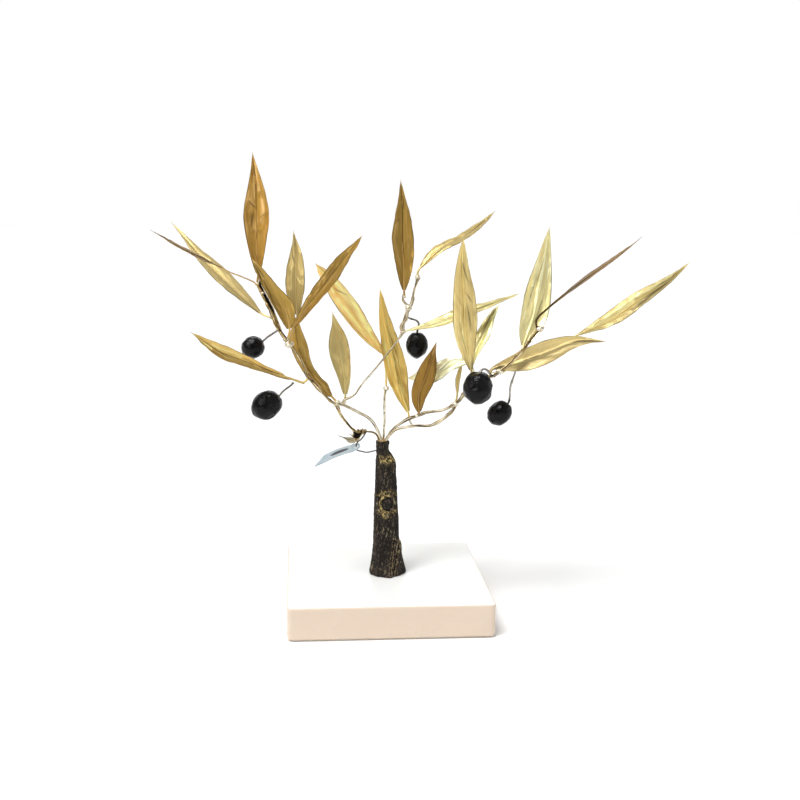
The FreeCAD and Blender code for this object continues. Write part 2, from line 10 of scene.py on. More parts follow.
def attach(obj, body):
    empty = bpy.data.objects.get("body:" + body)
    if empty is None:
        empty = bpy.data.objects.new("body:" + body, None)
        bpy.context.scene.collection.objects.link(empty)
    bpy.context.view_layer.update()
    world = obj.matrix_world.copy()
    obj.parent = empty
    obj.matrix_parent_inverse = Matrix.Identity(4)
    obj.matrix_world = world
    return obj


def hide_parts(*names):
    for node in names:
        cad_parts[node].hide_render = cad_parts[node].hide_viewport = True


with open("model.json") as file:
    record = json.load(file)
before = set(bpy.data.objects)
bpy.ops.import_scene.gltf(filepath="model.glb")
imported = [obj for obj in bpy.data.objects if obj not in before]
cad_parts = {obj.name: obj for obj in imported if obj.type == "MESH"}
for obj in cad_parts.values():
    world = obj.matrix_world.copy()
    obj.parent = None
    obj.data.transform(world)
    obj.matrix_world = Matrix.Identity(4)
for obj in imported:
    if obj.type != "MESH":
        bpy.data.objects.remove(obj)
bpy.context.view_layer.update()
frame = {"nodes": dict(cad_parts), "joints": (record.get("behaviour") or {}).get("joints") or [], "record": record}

# A gilded olive tree ornament on a marble slab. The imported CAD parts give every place
# and size; this script adds the looks. Metres, +Z up, -Y is the front.

MM = 0.001
SHEET = 0.19 * MM        # half the thickness of the leaves' sheet
TIP_DRAW = 1.4 * MM      # how far a leaf's fine point runs past the CAD tip
noise.seed_set(3)        # noise_vector draws from the clock until it has a seed

# ---------------- leaf styles
# tone: the sheet's colour. rib: the midrib line at the stalk and at the tip, painted as shade (below 0)
# or as a highlight (above 0) on the sheet. side: how much lighter the right half is painted than the
# left, as painted light and shade on the two halves. sheen: strength of the painted highlight patches.
# metal: the sheet's metallic share. crinkle: height of the wrinkles, mm. cup: how far each half is bowed,
# as a share of its width. wave: how far the rims wander, mm. streaks: strength of the long pleats and of
# the painted shade and highlight along them. stalk: its radius in mm, and how much painted shade (below 0)
# or painted highlight (above 0) it has. creases: sharp folds with painted shade in them, each (u0, v0, u1,
# v1, depth in mm, width in mm). gleams: pale painted highlight streaks, each (u0, v0, u1, v1, width in mm).
# In both, u runs from the stalk (0) to the tip (1), and v across, from the left rim (-1) to the right rim (1).

TONES = {
    "amber": (0.43, 0.24, 0.046),
    "brown": (0.38, 0.23, 0.048),
    "tawny": (0.50, 0.32, 0.072),
    "dark": (0.28, 0.155, 0.028),
    "grey": (0.52, 0.45, 0.30),
    "khaki": (0.44, 0.33, 0.12),
    "sand": (0.54, 0.42, 0.17),
    "straw": (0.60, 0.46, 0.18),
    "honey": (0.66, 0.44, 0.13),
    "gold": (0.86, 0.58, 0.165),
    "bright": (0.86, 0.53, 0.18),
    "pale": (0.63, 0.48, 0.19),
    "palest": (0.87, 0.75, 0.35),
    "cream": (0.98, 0.92, 0.56),
}
USUAL_STYLE = dict(rib=(-0.4, -0.4), crinkle=0.4, cup=0.12, wave=0.55, streaks=1.0, creases=(), gleams=())

LEAVES = {
    "leaf_left_top": dict(tone="amber", rib=(-0.5, -1.0), side=0.4, sheen=0.45,
        gleams=((0.42, 0.45, 0.60, 0.55, 0.9), (0.68, 0.3, 0.90, 0.3, 0.7),
        (0.61, -0.65, 0.56, -0.15, 0.35)), creases=((0.36, -0.45, 0.52, -0.2, -0.3, 1.6),
        (0.595, -0.65, 0.535, -0.05, -0.7, 0.8), (0.36, 0.1, 0.52, 0.8, 0.5, 0.8),
        (0.62, 0.15, 0.7, 0.7, 0.4, 0.6), (0.45, 0.3, 0.5, 0.7, -0.3, 0.5),
        (0.75, -0.5, 0.95, -0.2, 0.3, 0.6))),
    # dark tone and dark crease: painted shade on a leaf seen edge-on
    "leaf_left_thin": dict(tone="dark", rib=(-1.0, -1.0), stalk=(0.42, 0.9), cup=0.06, wave=0.25,
        crinkle=0.2, creases=((0.15, 0.0, 0.85, 0.1, -0.3, 2.4),)),
    "leaf_left_back": dict(tone="sand", rib=(-0.5, 0.2), side=-0.15, sheen=0.1, metal=0.5, crinkle=0.25),
    "leaf_left_low": dict(tone="honey", rib=(-1.0, -0.6), side=0.45, sheen=0.5,
        creases=((0.05, -0.1, 0.55, 0.35, -0.5, 0.8), (0.6, -0.3, 0.9, 0.2, -0.3, 0.5)),
        gleams=((0.55, 0.5, 0.8, 0.5, 0.7), (0.8, -0.2, 0.97, 0.0, 0.8))),
    "leaf_left_short": dict(tone="tawny", rib=(-0.5, -0.8), side=0.3,
        creases=((0.3, -0.9, 0.7, -0.3, -0.6, 1.0), (0.1, 0.2, 0.5, 0.6, 0.5, 0.7),
        (0.64, -0.8, 0.93, -0.4, -0.3, 1.3)), gleams=((0.7, -0.1, 0.97, 0.1, 0.5),)),
    "leaf_left_upright": dict(tone="khaki", rib=(0.5, -0.4), side=-0.1, sheen=0.1, metal=0.5, crinkle=0.3,
        creases=((0.35, -0.5, 0.5, 0.2, 0.4, 1.0), (0.6, 0.1, 0.72, 0.6, -0.3, 0.8))),
    "leaf_left_crossing": dict(tone="brown", rib=(-0.3, -0.7), side=0.25, sheen=0.4),
    "leaf_left_creased": dict(tone="tawny", rib=(-0.7, -0.5), side=0.4,
        creases=((0.1, -0.6, 0.8, 0.2, 0.6, 0.9), (0.05, 0.2, 0.4, -0.1, -0.4, 0.6))),
    "leaf_centre_back": dict(tone="bright", rib=(0.6, 0.6), side=0.3, sheen=1.0, metal=0.4,
        creases=((0.25, 0.5, 0.5, 0.8, 0.5, 1.1), (0.6, -0.6, 0.72, 0.0, -0.4, 0.8),
        (0.8, 0.1, 0.92, 0.6, 0.4, 0.8), (0.05, 0.6, 0.6, 0.95, -0.5, 0.6)),
        gleams=((0.25, -0.6, 0.75, -0.55, 2.0), (0.3, 0.25, 0.62, 0.35, 1.0), (0.7, 0.3, 0.86, 0.2, 1.0),
        (0.1, -0.3, 0.3, -0.3, 0.8))),
    "leaf_centre_small": dict(tone="straw", rib=(0.2, 0.5), side=0.1, sheen=0.2),
    "leaf_centre_front": dict(tone="gold", rib=(-0.7, 0.3), side=-0.2, sheen=0.6, streaks=2.0,
        creases=((0.1, -0.2, 0.6, 0.3, -0.3, 0.5), (0.3, 0.5, 0.75, 0.2, -0.3, 0.5))),
    "leaf_centre_dark": dict(tone="dark", rib=(-0.1, 1.0), wave=0.8, sheen=0.1),
    "leaf_top": dict(tone="brown", rib=(-0.9, -0.9), side=0.3, creases=((0.72, 0.15, 0.84, 0.55, -0.5, 0.7),
        (0.6, -0.7, 0.66, -0.2, 0.3, 0.8), (0.35, 0.1, 0.5, 0.7, 0.3, 0.9))),
    "leaf_top_right": dict(tone="pale", rib=(-0.5, -0.5), creases=((0.4, -0.2, 0.85, 0.3, -0.7, 0.7),)),
    "leaf_right_tall": dict(tone="pale", rib=(1.0, 0.8), side=0.15, sheen=0.7,
        creases=((0.66, -0.6, 0.8, -0.1, -0.6, 0.7), (0.3, -0.5, 0.5, -0.2, -0.5, 1.0),
        (0.45, 0.2, 0.6, 0.8, 0.3, 0.8), (0.5, -0.7, 0.58, -0.2, -0.4, 0.6),
        (0.1, 0.1, 0.4, 0.5, -0.3, 0.5))),
    "leaf_right_level": dict(tone="palest", rib=(-0.6, -0.3), creases=((0.4, -0.1, 0.8, 0.3, -0.5, 0.7),)),
    "leaf_right_back": dict(tone="palest", rib=(-0.5, -0.9), side=-0.3,
        creases=((0.5, 0.15, 0.98, 0.5, -0.3, 3.2),)),
    "leaf_right_behind": dict(tone="cream", rib=(0.3, 0.3), creases=((0.2, -0.5, 0.7, 0.3, -0.4, 0.7),)),
    "leaf_right_broad": dict(tone="palest", rib=(0.9, 1.0), side=-0.15, sheen=0.7,
        gleams=((0.20, 0.0, 0.50, 0.05, 0.75), (0.5, 0.05, 0.75, 0.1, 0.5)),
        creases=((0.15, 0.1, 0.5, 0.5, -0.4, 0.7), (0.5, -0.3, 0.75, -0.1, -0.4, 0.6),
        (0.3, -0.6, 0.6, -0.35, -0.3, 0.5))),
    # dark tone and dark crease: painted shade on a leaf seen edge-on
    "leaf_right_edgewise": dict(tone="dark", rib=(-1.0, 0.2), stalk=(0.62, -0.9), cup=0.04, wave=0.15,
        crinkle=0.12, creases=((0.0, 0.0, 0.46, 0.0, -0.2, 9.0),)),
    "leaf_right_low": dict(tone="sand", rib=(-1.0, -0.7), side=-0.5, sheen=0.1, metal=0.4, crinkle=0.25,
        creases=((0.0, 0.0, 0.13, 0.3, -0.3, 4.0), (0.4, 0.3, 0.62, 0.8, 0.4, 1.1),
        (0.7, -0.2, 0.95, 0.3, -0.5, 0.8))),
    "leaf_right_far": dict(tone="pale", rib=(0.2, 0.5), side=0.1, sheen=0.4, metal=0.45, crinkle=0.3,
        creases=((0.30, -0.85, 0.92, -0.05, -0.5, 4.4), (0.48, -0.8, 0.58, -0.4, -0.3, 1.6),
        (0.6, 0.4, 0.85, 0.1, -0.3, 0.7)), gleams=((0.1, 0.1, 0.45, 0.2, 1.4), (0.5, 0.5, 0.8, 0.4, 1.2))),
    "leaf_right_bud": dict(tone="straw", rib=(-0.5, -0.5), sheen=0.0),
    "bract_spike": dict(tone="grey", rib=(-0.3, -1.0)),
}

OLIVES = ("olive_left_upper", "olive_left_lower", "olive_centre", "olive_right_front", "olive_right_lower")
TWIGS = sorted(n for n in frame["nodes"] if n.startswith(("branch_", "twig_", "olive_stem_", "link_left")))
# the darkest and brightest streaks are painted shade and painted highlight along the wires; the darkest is also
# the tarnish's colour
WIRE_TONES = {           # a name, the colour, its darkest streak and its brightest
    "pale": ("gilt_wire", (0.46, 0.38, 0.24), (0.05, 0.035, 0.02), (1.0, 0.96, 0.82)),
    "brown": ("brown_wire", (0.36, 0.25, 0.10), (0.035, 0.022, 0.01), (0.90, 0.80, 0.52)),
    "dull": ("dull_gilt_wire", (0.33, 0.26, 0.15), (0.03, 0.02, 0.012), (0.92, 0.85, 0.66)),
    "bright": ("bright_gilt_wire", (0.72, 0.66, 0.47), (0.10, 0.08, 0.05), (1.0, 0.98, 0.90)),
    "grey": ("stem_wire", (0.22, 0.20, 0.17), (0.03, 0.026, 0.022), (0.60, 0.57, 0.50)),
    "dark": ("dark_wire", (0.07, 0.065, 0.06), (0.02, 0.018, 0.016), (0.2, 0.19, 0.17)),
}
WIRE_FINISHES = {        # the olives' stems are grey, and the rest are pale gilt
    "brown": ("branch_left_lower", "branch_left_middle", "branch_left_upper", "branch_right_outer",
              "link_left"),
    "dull": ("branch_right_lower", "branch_right_middle", "branch_right_inner"),
    "bright": ("branch_upright",),
}
DRAWN_WIRES = ("branch_left_fork", "branch_upright", "branch_right_inner", "branch_right_lower",
               "branch_diagonal")      # smoother than the cast twigs
BEADS_FROM_Z = 112 * MM          # no solder below this height, where the wires enter the trunk
BEAD_SHARE = 1.6                 # a bead's radius, as a share of its wire's

BEAD_SHAPE = np.array((1.15, 1.0, 0.85))

MOST_SECTIONS = 400
LEAF_ROWS, LEAF_COLUMNS = 130, 33
STALK_WIDTH = 1.9 * MM           # before the blade, a narrower section is stalk
STALK_END, STALK_SIDES = 0.15, 10      # mm, its radius where it dies out under the blade
WIRE_STEP, TWIG_SIDES = 0.45 * MM, 14
COIL_WIRE, COIL_TURNS, COIL_STEPS, COIL_SIDES = 0.36 * MM, 6, 24, 10
CORE_SHARE = 0.62                # of the binding's radius, under the coil

SHEATH_POINTS = 66               # of the wire's even steps, about 30 mm
SHEATH_SHIFT = (1.5, -1.4, 0.0)  # mm, from the middle of the wire
SHEATH_ON_LEAF = 7 * MM          # how far it runs up the leaf's stalk
SHEATH_ROWS, SHEATH_COLUMNS = 60, 15
SHEATH_RADIUS, SHEATH_HALF_ANGLE = 1.3, 118     # mm, and degrees to each side of its back
SHEATH_SHEET = 0.16 * MM

BRACT_AROUND, BRACT_RINGS = 56, 18
BRACT_RADIUS, BRACT_SHEET = 2.9 * MM, 0.22 * MM
BRACT_FRONT = np.array((-0.3, -1.0, 0.0))       # the way its low side faces

TAG_HINGE = next(j for j in frame["joints"] if j["name"] == "tag_swing")["pos_m"]
TAG_ALONG, TAG_ACROSS = (-3, 28), (-5.6, 5.7)       # mm from the hole, its grid's reach
TAG_STEP = 0.55                                     # mm, between the cuts of its grid
TAG_CURL_FROM, TAG_CURL_RUN = 3.0, 24               # mm past the hole, and mm long
PRINT_AT, PRINT_HALF = (10.5, -0.4), (6.2, 2.3)     # mm, along and across the tag

BARK_AROUND, BARK_LEVELS, BARK_INSET = 180, 190, 0.02 * MM
KNOT_X, KNOT_Z, KNOT_FLAT = 0.6, 66.0, 0.85         # mm, and its height's share of its width
KNOT_GROOVE, KNOT_RING, KNOT_HALO = 3.2, 4.3, 6.4   # mm, their radii
TOP_FLECKS_Z, FOOT_Z, EDGE_Z = 93.0, 31, 21.2       # mm
STEP_TOP_Z, STEP_LOW_Z = 41, 26                     # mm, the small step at the right of the foot
SPLITS = ((5.4, 43, 2.4, 22), (8.2, 41, 5.0, 21))   # mm, x and z on the front

OLIVE_VOXEL = 0.35 * MM
OLIVE_FLATS, FLAT_AT = 7, 0.94                      # how far out the flats cut, as a share


# ---------------- reading the CAD meshes

def unit(vector):
    return vector / max(np.linalg.norm(vector), 1e-12)


def clamp(value):
    return max(0.0, min(1.0, value))


def bell(distance, width):
    return math.exp(-(distance / width) ** 2)


def drift(x, y=0.0, z=0.0, seed=Vector((0, 0, 0))):
    """Smooth noise, from about -1 to 1."""
    return noise.noise(Vector((x, y, z)) + seed)


def ring_rays(side, other, count):
    """Unit steps round a circle in the plane of side and other, with their angles."""
    for k in range(count):
        angle = 2 * math.pi * k / count
        yield angle, side * math.cos(angle) + other * math.sin(angle)


def welded(node):
    """A CAD node's mesh as vertices and triangles that share their corners."""
    bm = bmesh.new()
    bm.from_mesh(frame["nodes"][node].data)
    bmesh.ops.remove_doubles(bm, verts=bm.verts, dist=2e-6)
    bmesh.ops.triangulate(bm, faces=bm.faces)
    bm.verts.index_update()
    verts = np.array([v.co for v in bm.verts])
    tris = np.array([[v.index for v in f.verts] for f in bm.faces])
    bm.free()
    return verts, tris


def cut(mesh, point, normal, outermost=False):
    """The closed loop of points where a plane cuts the mesh: the nearest to point, or the outermost."""
    verts, tris = mesh
    side = (verts - point) @ normal
    above = side > 0
    count = above[tris].sum(1)
    links = {}
    for tri in tris[(count > 0) & (count < 3)]:
        ends = []
        for a, b in ((0, 1), (1, 2), (2, 0)):
            i, j = int(tri[a]), int(tri[b])
            if above[i] != above[j]:
                ends.append((min(i, j), max(i, j)))
        links.setdefault(ends[0], []).append(ends[1])
        links.setdefault(ends[1], []).append(ends[0])
    if not links:
        return None
    place = {(i, j): verts[i] + (verts[j] - verts[i]) * (side[i] / (side[i] - side[j])) for i, j in links}
    order = sorted(place, key=lambda e: np.linalg.norm(place[e] - point))
    edge = order[-1] if outermost else order[0]
    loop = [edge]
    seen = {edge}
    while True:
        following = [e for e in links[loop[-1]] if e not in seen]
        if not following:
            break
        loop.append(following[0])
        seen.add(following[0])
    return np.array([place[e] for e in loop])


def loop_area(loop):
    centre = loop.mean(0)
    return np.linalg.norm(np.cross(loop - centre, np.roll(loop, -1, 0) - centre).sum(0)) / 2


def loop_centre(loop):
    """The middle of a loop's outline, whatever its points' spacing."""
    following = np.roll(loop, -1, 0)
    length = np.linalg.norm(following - loop, axis=1)
    return ((loop + following) / 2 * length[:, None]).sum(0) / length.sum()


def sections(node, step=1.0 * MM, reach=4 * MM):
    """Walks along a long thin node and returns its cross-sections in order, as loops of points."""
    verts, tris = mesh = welded(node)
    corners = verts[tris]
    cloud = np.concatenate([
        corners[:, 0] * a + corners[:, 1] * b + corners[:, 2] * (1 - a - b)
        for a in (0.1, 0.3, 0.5, 0.7) for b in (0.1, 0.2)])
    end = verts[np.argmax(np.linalg.norm(verts - cloud.mean(0), axis=1))]
    gap = np.linalg.norm(cloud - end, axis=1)
    near_end = cloud[gap < max(1.5 * MM, gap.min() * 1.5)].mean(0)
    direction = unit(cloud[gap < 7 * MM].mean(0) - near_end)
    loops = []
    point = verts[np.linalg.norm(verts - end, axis=1) < 2 * MM].mean(0) + direction * step * 0.3
    last = None
    while len(loops) < MOST_SECTIONS:
        loop = cut(mesh, point, direction)
        if loop is None or len(loop) < 4:
            break
        centre = loop_centre(loop)
        if np.linalg.norm(centre - point) > reach:
            break
        loops.append(loop)
        if last is not None:
            direction = unit(direction * 0.6 + unit(centre - last) * 0.4)
        last = centre
        point = centre + direction * step
    return loops


def smooth(rows, passes):
    """Rounds the corners of a row of points or numbers, keeping its ends."""
    rows = np.array(rows, float)
    for _ in range(passes):
        rows[1:-1] = rows[1:-1] * 0.5 + (rows[:-2] + rows[2:]) * 0.25
    return rows


def steps_of(points):
    return np.linalg.norm(np.diff(points, axis=0), axis=1)


def spaced(rows, count, guide=None):
    """Resamples rows to count of them at even distances along guide."""
    guide = rows if guide is None else guide
    along = np.concatenate([[0], np.cumsum(steps_of(guide))])
    wanted = np.linspace(0, along[-1], count)
    if rows.ndim == 1:
        return np.interp(wanted, along, rows)
    return np.stack([np.interp(wanted, along, rows[:, k]) for k in range(rows.shape[1])], 1)


def points_of(mesh):
    return np.array([v.co for v in mesh.vertices])


WOOD = np.concatenate([points_of(frame["nodes"][n].data) for n in (*TWIGS, "bract_cup")])  # stalks end on it


# ---------------- building meshes

def placed(name, data):
    """A new object in the scene."""
    thing = bpy.data.objects.new(name, data)
    bpy.context.scene.collection.objects.link(thing)
    return thing


def slot_of(node):
    return next(s["material_slot"] for s in frame["record"]["subparts"] if s["node"] == node)


def new_piece(name, shape, material, slot, replaces=(), body="ornament", **attributes):
    mesh = bpy.data.meshes.new(name)
    verts, faces = shape
    mesh.from_pydata([tuple(v) for v in verts], [], faces)
    for key, values in attributes.items():
        values = np.asarray(values, np.float32)
        kind, field = ("FLOAT", "value") if values.ndim == 1 else ("FLOAT_VECTOR", "vector")
        mesh.attributes.new(key, kind, "POINT").data.foreach_set(field, values.ravel())
    mesh.validate()
    mesh.update()
    mesh.shade_smooth()
    mesh.materials.append(material)
    piece = placed(name, mesh)
    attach(piece, body)
    if replaces:
        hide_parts(*replaces)


def stand_in(node, name, shape, material, **more):
    """A piece that takes the place of a CAD node."""
    new_piece(name, shape, material, slot_of(node), (node,), **more)


def grid_faces(rows, columns, closed=False):
    """The quads between rows of points. Closed joins the end of each row to its start."""
    faces = []
    for start in range(0, (rows - 1) * columns, columns):
        for k in range(columns if closed else columns - 1):
            a, b = start + k, start + (k + 1) % columns
            faces.append((a, b, b + columns, a + columns))
    return faces


def shifted(faces, start):
    return [tuple(i + start for i in face) for face in faces]


def flipped(faces):
    return [(face[0], *face[:0:-1]) for face in faces]


def sheet_faces(rows, columns):
    """A thin sheet: its front, its back, whose points follow the front's, and its two long rims."""
    size = rows * columns
    front = grid_faces(rows, columns)
    faces = front + shifted(flipped(front), size)
    for a in range(0, size - columns, columns):
        b = a + columns
        last, last_above = b - 1, b + columns - 1
        faces += [(a, b, b + size, a + size), (last + size, last_above + size, last_above, last)]
    return faces


def fan(ring, point):
    """Triangles from a closed ring of points to one point."""
    return [(after, before, point) for before, after in zip(ring, ring[1:] + ring[:1])]


def tube_mesh(centres, radii, sides=TWIG_SIDES, seed=0, rough=0.0, flat=0.0):
    """A closed tube along centres, with a slightly uneven surface."""
    count = len(centres)
    tangents = np.gradient(centres, axis=0)
    side = unit(np.cross(tangents[0], (0.31, 0.17, 0.93)))
    verts = []
    for centre, radius, tangent in zip(centres, radii, tangents):
        tangent = unit(tangent)
        side = unit(side - tangent * (side @ tangent))
        for _, ray in ring_rays(side * (1 + flat), np.cross(tangent, side) * (1 - flat), sides):
            bump = 1 + rough * drift(*(centre * 1400 + ray * 1.3), Vector((seed, 0, 0)))
            verts.append(centre + ray * radius * bump)
    faces = grid_faces(count, sides, closed=True)
    faces.append(tuple(range(sides))[::-1])
    faces.append(tuple(range((count - 1) * sides, count * sides)))
    return verts, faces


def joined(*parts):
    """Puts several (verts, faces) together as one."""
    verts, faces = [], []
    for part_verts, part_faces in parts:
        faces += shifted(part_faces, len(verts))
        verts += list(part_verts)
    return verts, faces


def bead_mesh(centre, radius, seed):
    """An irregular, slightly flattened drop of solder."""
    bm = bmesh.new()
    bmesh.ops.create_icosphere(bm, subdivisions=3, radius=1)
    verts = []
    for v in bm.verts:
        lump = 1 + 0.28 * drift(*(v.co * 1.4), Vector((seed * 3.7, 0, 0)))
        verts.append(np.array(centre) + np.array(v.co) * lump * radius * BEAD_SHAPE)
    faces = [tuple(v.index for v in f.verts) for f in bm.faces]
    bm.free()
    return verts, faces


# ---------------- materials

class Nodes:
    """A small helper for writing a material's nodes, or the world's."""

    def __init__(self, name, owner=None):
        self.owner = owner or bpy.data.materials.new(name)
        self.owner.use_nodes = True
        self.tree = self.owner.node_tree
        self.places = self.add("ShaderNodeTexCoord").outputs

    def feed(self, socket, value):
        """Sets a socket to a number, a colour or a vector, or links another node's output to it."""
        if isinstance(value, (int, float)):
            socket.default_value = value
        elif isinstance(value, tuple):
            socket.default_value = value if socket.type == "VECTOR" else (*value, 1)
        else:
            self.tree.links.new(value, socket)

    def add(self, kind, inputs=(), **settings):
        """A new node, with its inputs given as {name or number: value}."""
        node = self.tree.nodes.new(kind)
        for key, value in settings.items():
            setattr(node, key, value)
        for key, value in dict(inputs).items():
            self.feed(node.inputs[key], value)
        return node

    def noise(self, scale, detail=4, rough=0.55, stretch=None, vector=None, warp=0.0):
        vector = vector or self.places["Object"]
        if stretch:
            vector = self.add("ShaderNodeMapping", {"Vector": vector, "Scale": stretch}).outputs["Vector"]
        inputs = {"Vector": vector, "Scale": scale, "Detail": detail, "Roughness": rough, "Distortion": warp}
        return self.add("ShaderNodeTexNoise", inputs).outputs["Fac"]

    def voronoi(self, scale, feature="F1"):
        inputs = {"Vector": self.places["Object"], "Scale": scale}
        return self.add("ShaderNodeTexVoronoi", inputs, feature=feature).outputs["Distance"]

    def ramp(self, value, *stops):
        """Colours, or greys, at their places from 0 to 1."""
        node = self.add("ShaderNodeValToRGB", {"Fac": value})
        elements = node.color_ramp.elements
        while len(elements) < len(stops):
            elements.new(0.5)
        for element, (at, colour) in zip(elements, stops):
            element.position = at
            element.color = (*colour, 1) if isinstance(colour, tuple) else (colour, colour, colour, 1)
        return node.outputs["Color"]

    def span(self, value, low, high, from_low=0.0, from_high=1.0, kind="LINEAR"):
        """Maps from_low..from_high to low..high, and holds the ends."""
        inputs = {"Value": value, "From Min": from_low, "From Max": from_high, "To Min": low, "To Max": high}
        return self.add("ShaderNodeMapRange", inputs, interpolation_type=kind).outputs["Result"]

    def math(self, operation, a, b=0):
        return self.add("ShaderNodeMath", {0: a, 1: b}, operation=operation).outputs[0]

    def times(self, a, b):
        return self.math("MULTIPLY", a, b)

    def mix(self, factor, a, b):
        return self.add("ShaderNodeMix", {0: factor, 6: a, 7: b}, data_type="RGBA").outputs[2]

    def attribute(self, name, output="Fac"):
        return self.add("ShaderNodeAttribute", attribute_name=name).outputs[output]

    def split(self, vector):
        return self.add("ShaderNodeSeparateXYZ", {"Vector": vector}).outputs

    def bumps(self, *layers):
        """The normal under several reliefs, each (height, strength, distance in mm)."""
        normal = None
        for height, strength, distance in layers:
            inputs = {"Height": height, "Strength": strength, "Distance": distance * MM}
            if normal:
                inputs["Normal"] = normal
            normal = self.add("ShaderNodeBump", inputs).outputs["Normal"]
        return normal

    def set(self, **values):
        """Feeds the shader's sockets, whose names have _ for a space, and gives the material back."""
        for key, value in values.items():
            self.feed(self.tree.nodes["Principled BSDF"].inputs[key.replace("_", " ")], value)
        return self.owner


def shade(colour, factor):
    return tuple(min(1.0, c * factor) for c in colour)


def plain_material(name, pattern, stops, rough, relief, **shader):
    """One noise that drives the colour, the roughness (between two values) and the relief."""
    n = Nodes(name)
    grain = n.noise(**pattern)
    n.set(Base_Color=n.ramp(grain, *stops), Roughness=n.span(grain, *rough), **shader)
    return n.set(Normal=n.bumps((grain, *relief)))


def gilt_material(name, colour, side, streaks, sheen, metal):
    """Gilded sheet: long pleats with painted shade and highlight along them, halves painted in light and
    shade, painted highlight patches and streaks, a midrib line painted as highlight or shade, painted
    shade in the folds, and thin rims darkened in patches.
    """
    n = Nodes(name)
    blade = n.attribute("blade", "Vector")
    fold, spine, across = n.split(n.attribute("marks", "Vector"))
    pleats = n.noise(1.0, 5, 0.6, stretch=(0.035, 1.3, 1.0), vector=blade)
    patches = n.noise(1.0, 2, 0.4, stretch=(0.05, 0.12, 0.2), vector=blade)
    burnish_and_highlight = n.noise(1.0, 4, 0.55, stretch=(0.055, 0.42, 1.0), vector=blade, warp=0.6)
    # painted shade and highlight: the pleats' colour ramp darkens their hollows and lightens their ridges
    base = n.ramp(pleats, (0.30, shade(colour, 0.55)), (0.48, colour), (0.70, shade(colour, 1.4)))
    tinted = n.ramp(patches, (0.35, shade(colour, 0.75)), (0.65, shade(colour, 1.2)))
    base = n.mix(min(1.0, 0.45 * streaks), tinted, base)
    # painted light: one half of the blade painted lighter and the other darker, as if lit from one side
    lit_and_shaded_halves = shade(colour, 1 - side), shade(colour, 1 + side)
    half_light = n.ramp(n.span(across, 0, 1, -1, 1), (0.44, lit_and_shaded_halves[0]), (0.56, lit_and_shaded_halves[1]))
    base = n.mix(0.5, base, half_light)
    # lit: the painted highlight colour, laid on noise patches here and on bright midribs and gleams below
    lit = tuple(min(1.0, 1.45 * c + 0.24 * g) for c, g in zip(colour, (1.0, 0.85, 0.6)))
    base = n.mix(n.span(burnish_and_highlight, 0, 0.95 * sheen, 0.50, 0.68), base, lit)
    # painted highlight on bright midribs, stalks and gleams; then painted shade on dark midribs
    base = n.mix(n.math("MAXIMUM", spine), base, lit)
    base = n.mix(n.math("MAXIMUM", n.times(spine, -1)), base, shade(colour, 0.16))
    # thin rims darkened in patches
    edge = n.span(n.math("ABSOLUTE", across), 0, 0.95, 0.90, 0.97)
    base = n.mix(n.times(edge, n.span(patches, 0.2, 1.0, 0.4, 0.6)), base, shade(colour, 0.2))
    # painted shade in the creases and on dark stalks, and darker towards each stalk
    base = n.mix(n.span(fold, 0.0, 0.95), base, shade(colour, 0.13))
    grain = n.noise(1.0, 6, 0.65, stretch=(0.3, 4.0, 2.0), vector=blade)
    foil = n.noise(900, 3, 0.6)
    normal = n.bumps((pleats, 0.45 * streaks, 0.35), (burnish_and_highlight, 0.25, 0.3),
                     (grain, 0.2, 0.1), (foil, 0.2, 0.08))
    rough = n.span(burnish_and_highlight, 0.44, 0.30, 0.4, 0.65)
    return n.set(Base_Color=base, Metallic=metal, Roughness=rough, Normal=normal)


def wire_material(name, colour, dark, bright):
    """Drawn or cast wire: painted shade and highlight streaks that run along it, tarnish, and small pits."""
    n = Nodes(name)
    drawn_marks_and_light = n.noise(1.0, 3, 0.55, stretch=(0.10, 0.42, 0.42), vector=n.attribute("run", "Vector"))
    tarnish = n.noise(260, 4, 0.6)
    pits = n.noise(1600, 3, 0.5)
    # painted shade and highlight in streaks along the wire; the same noise gives its drawn relief
    base = n.ramp(drawn_marks_and_light, (0.39, dark), (0.48, colour), (0.54, shade(colour, 1.3)), (0.62, bright))
    base = n.mix(n.span(tarnish, 0, 0.85, 0.58, 0.68), base, dark)
    rough = n.span(tarnish, 0.30, 0.5, 0.3, 0.7)
    normal = n.bumps((pits, 0.3, 0.1), (drawn_marks_and_light, 0.5, 0.3))
    return n.set(Base_Color=base, Metallic=0.8, Roughness=rough, Normal=normal)


def solder_material():
    stops = (0.34, (0.20, 0.14, 0.06)), (0.46, (0.66, 0.58, 0.42)), (0.7, (0.95, 0.92, 0.84))
    return plain_material("solder", dict(scale=700, rough=0.6), stops, (0.25, 0.4), (0.5, 0.3), Metallic=0.7)


def bract_material():
    """Gilt outside; the cup's inner side, held in the attribute "inside", gets almost black painted shade."""
    n = Nodes("bract")
    fibres = n.noise(600, 5, 0.6, stretch=(1, 1, 0.3))
    base = n.ramp(fibres, (0.32, (0.13, 0.085, 0.03)), (0.5, (0.40, 0.29, 0.12)), (0.68, (0.72, 0.60, 0.34)))
    inside = n.attribute("inside")
    # painted shade inside the cup
    base = n.mix(inside, base, (0.008, 0.006, 0.004))
    metal = n.times(n.math("SUBTRACT", 1.0, inside), 0.6)
    rough = n.math("ADD", n.span(fibres, 0.4, 0.6), n.times(inside, 0.4))
    normal = n.bumps((fibres, 0.6, 0.3))
    return n.set(Base_Color=base, Metallic=metal, Roughness=rough, Specular_IOR_Level=0.15, Normal=normal)


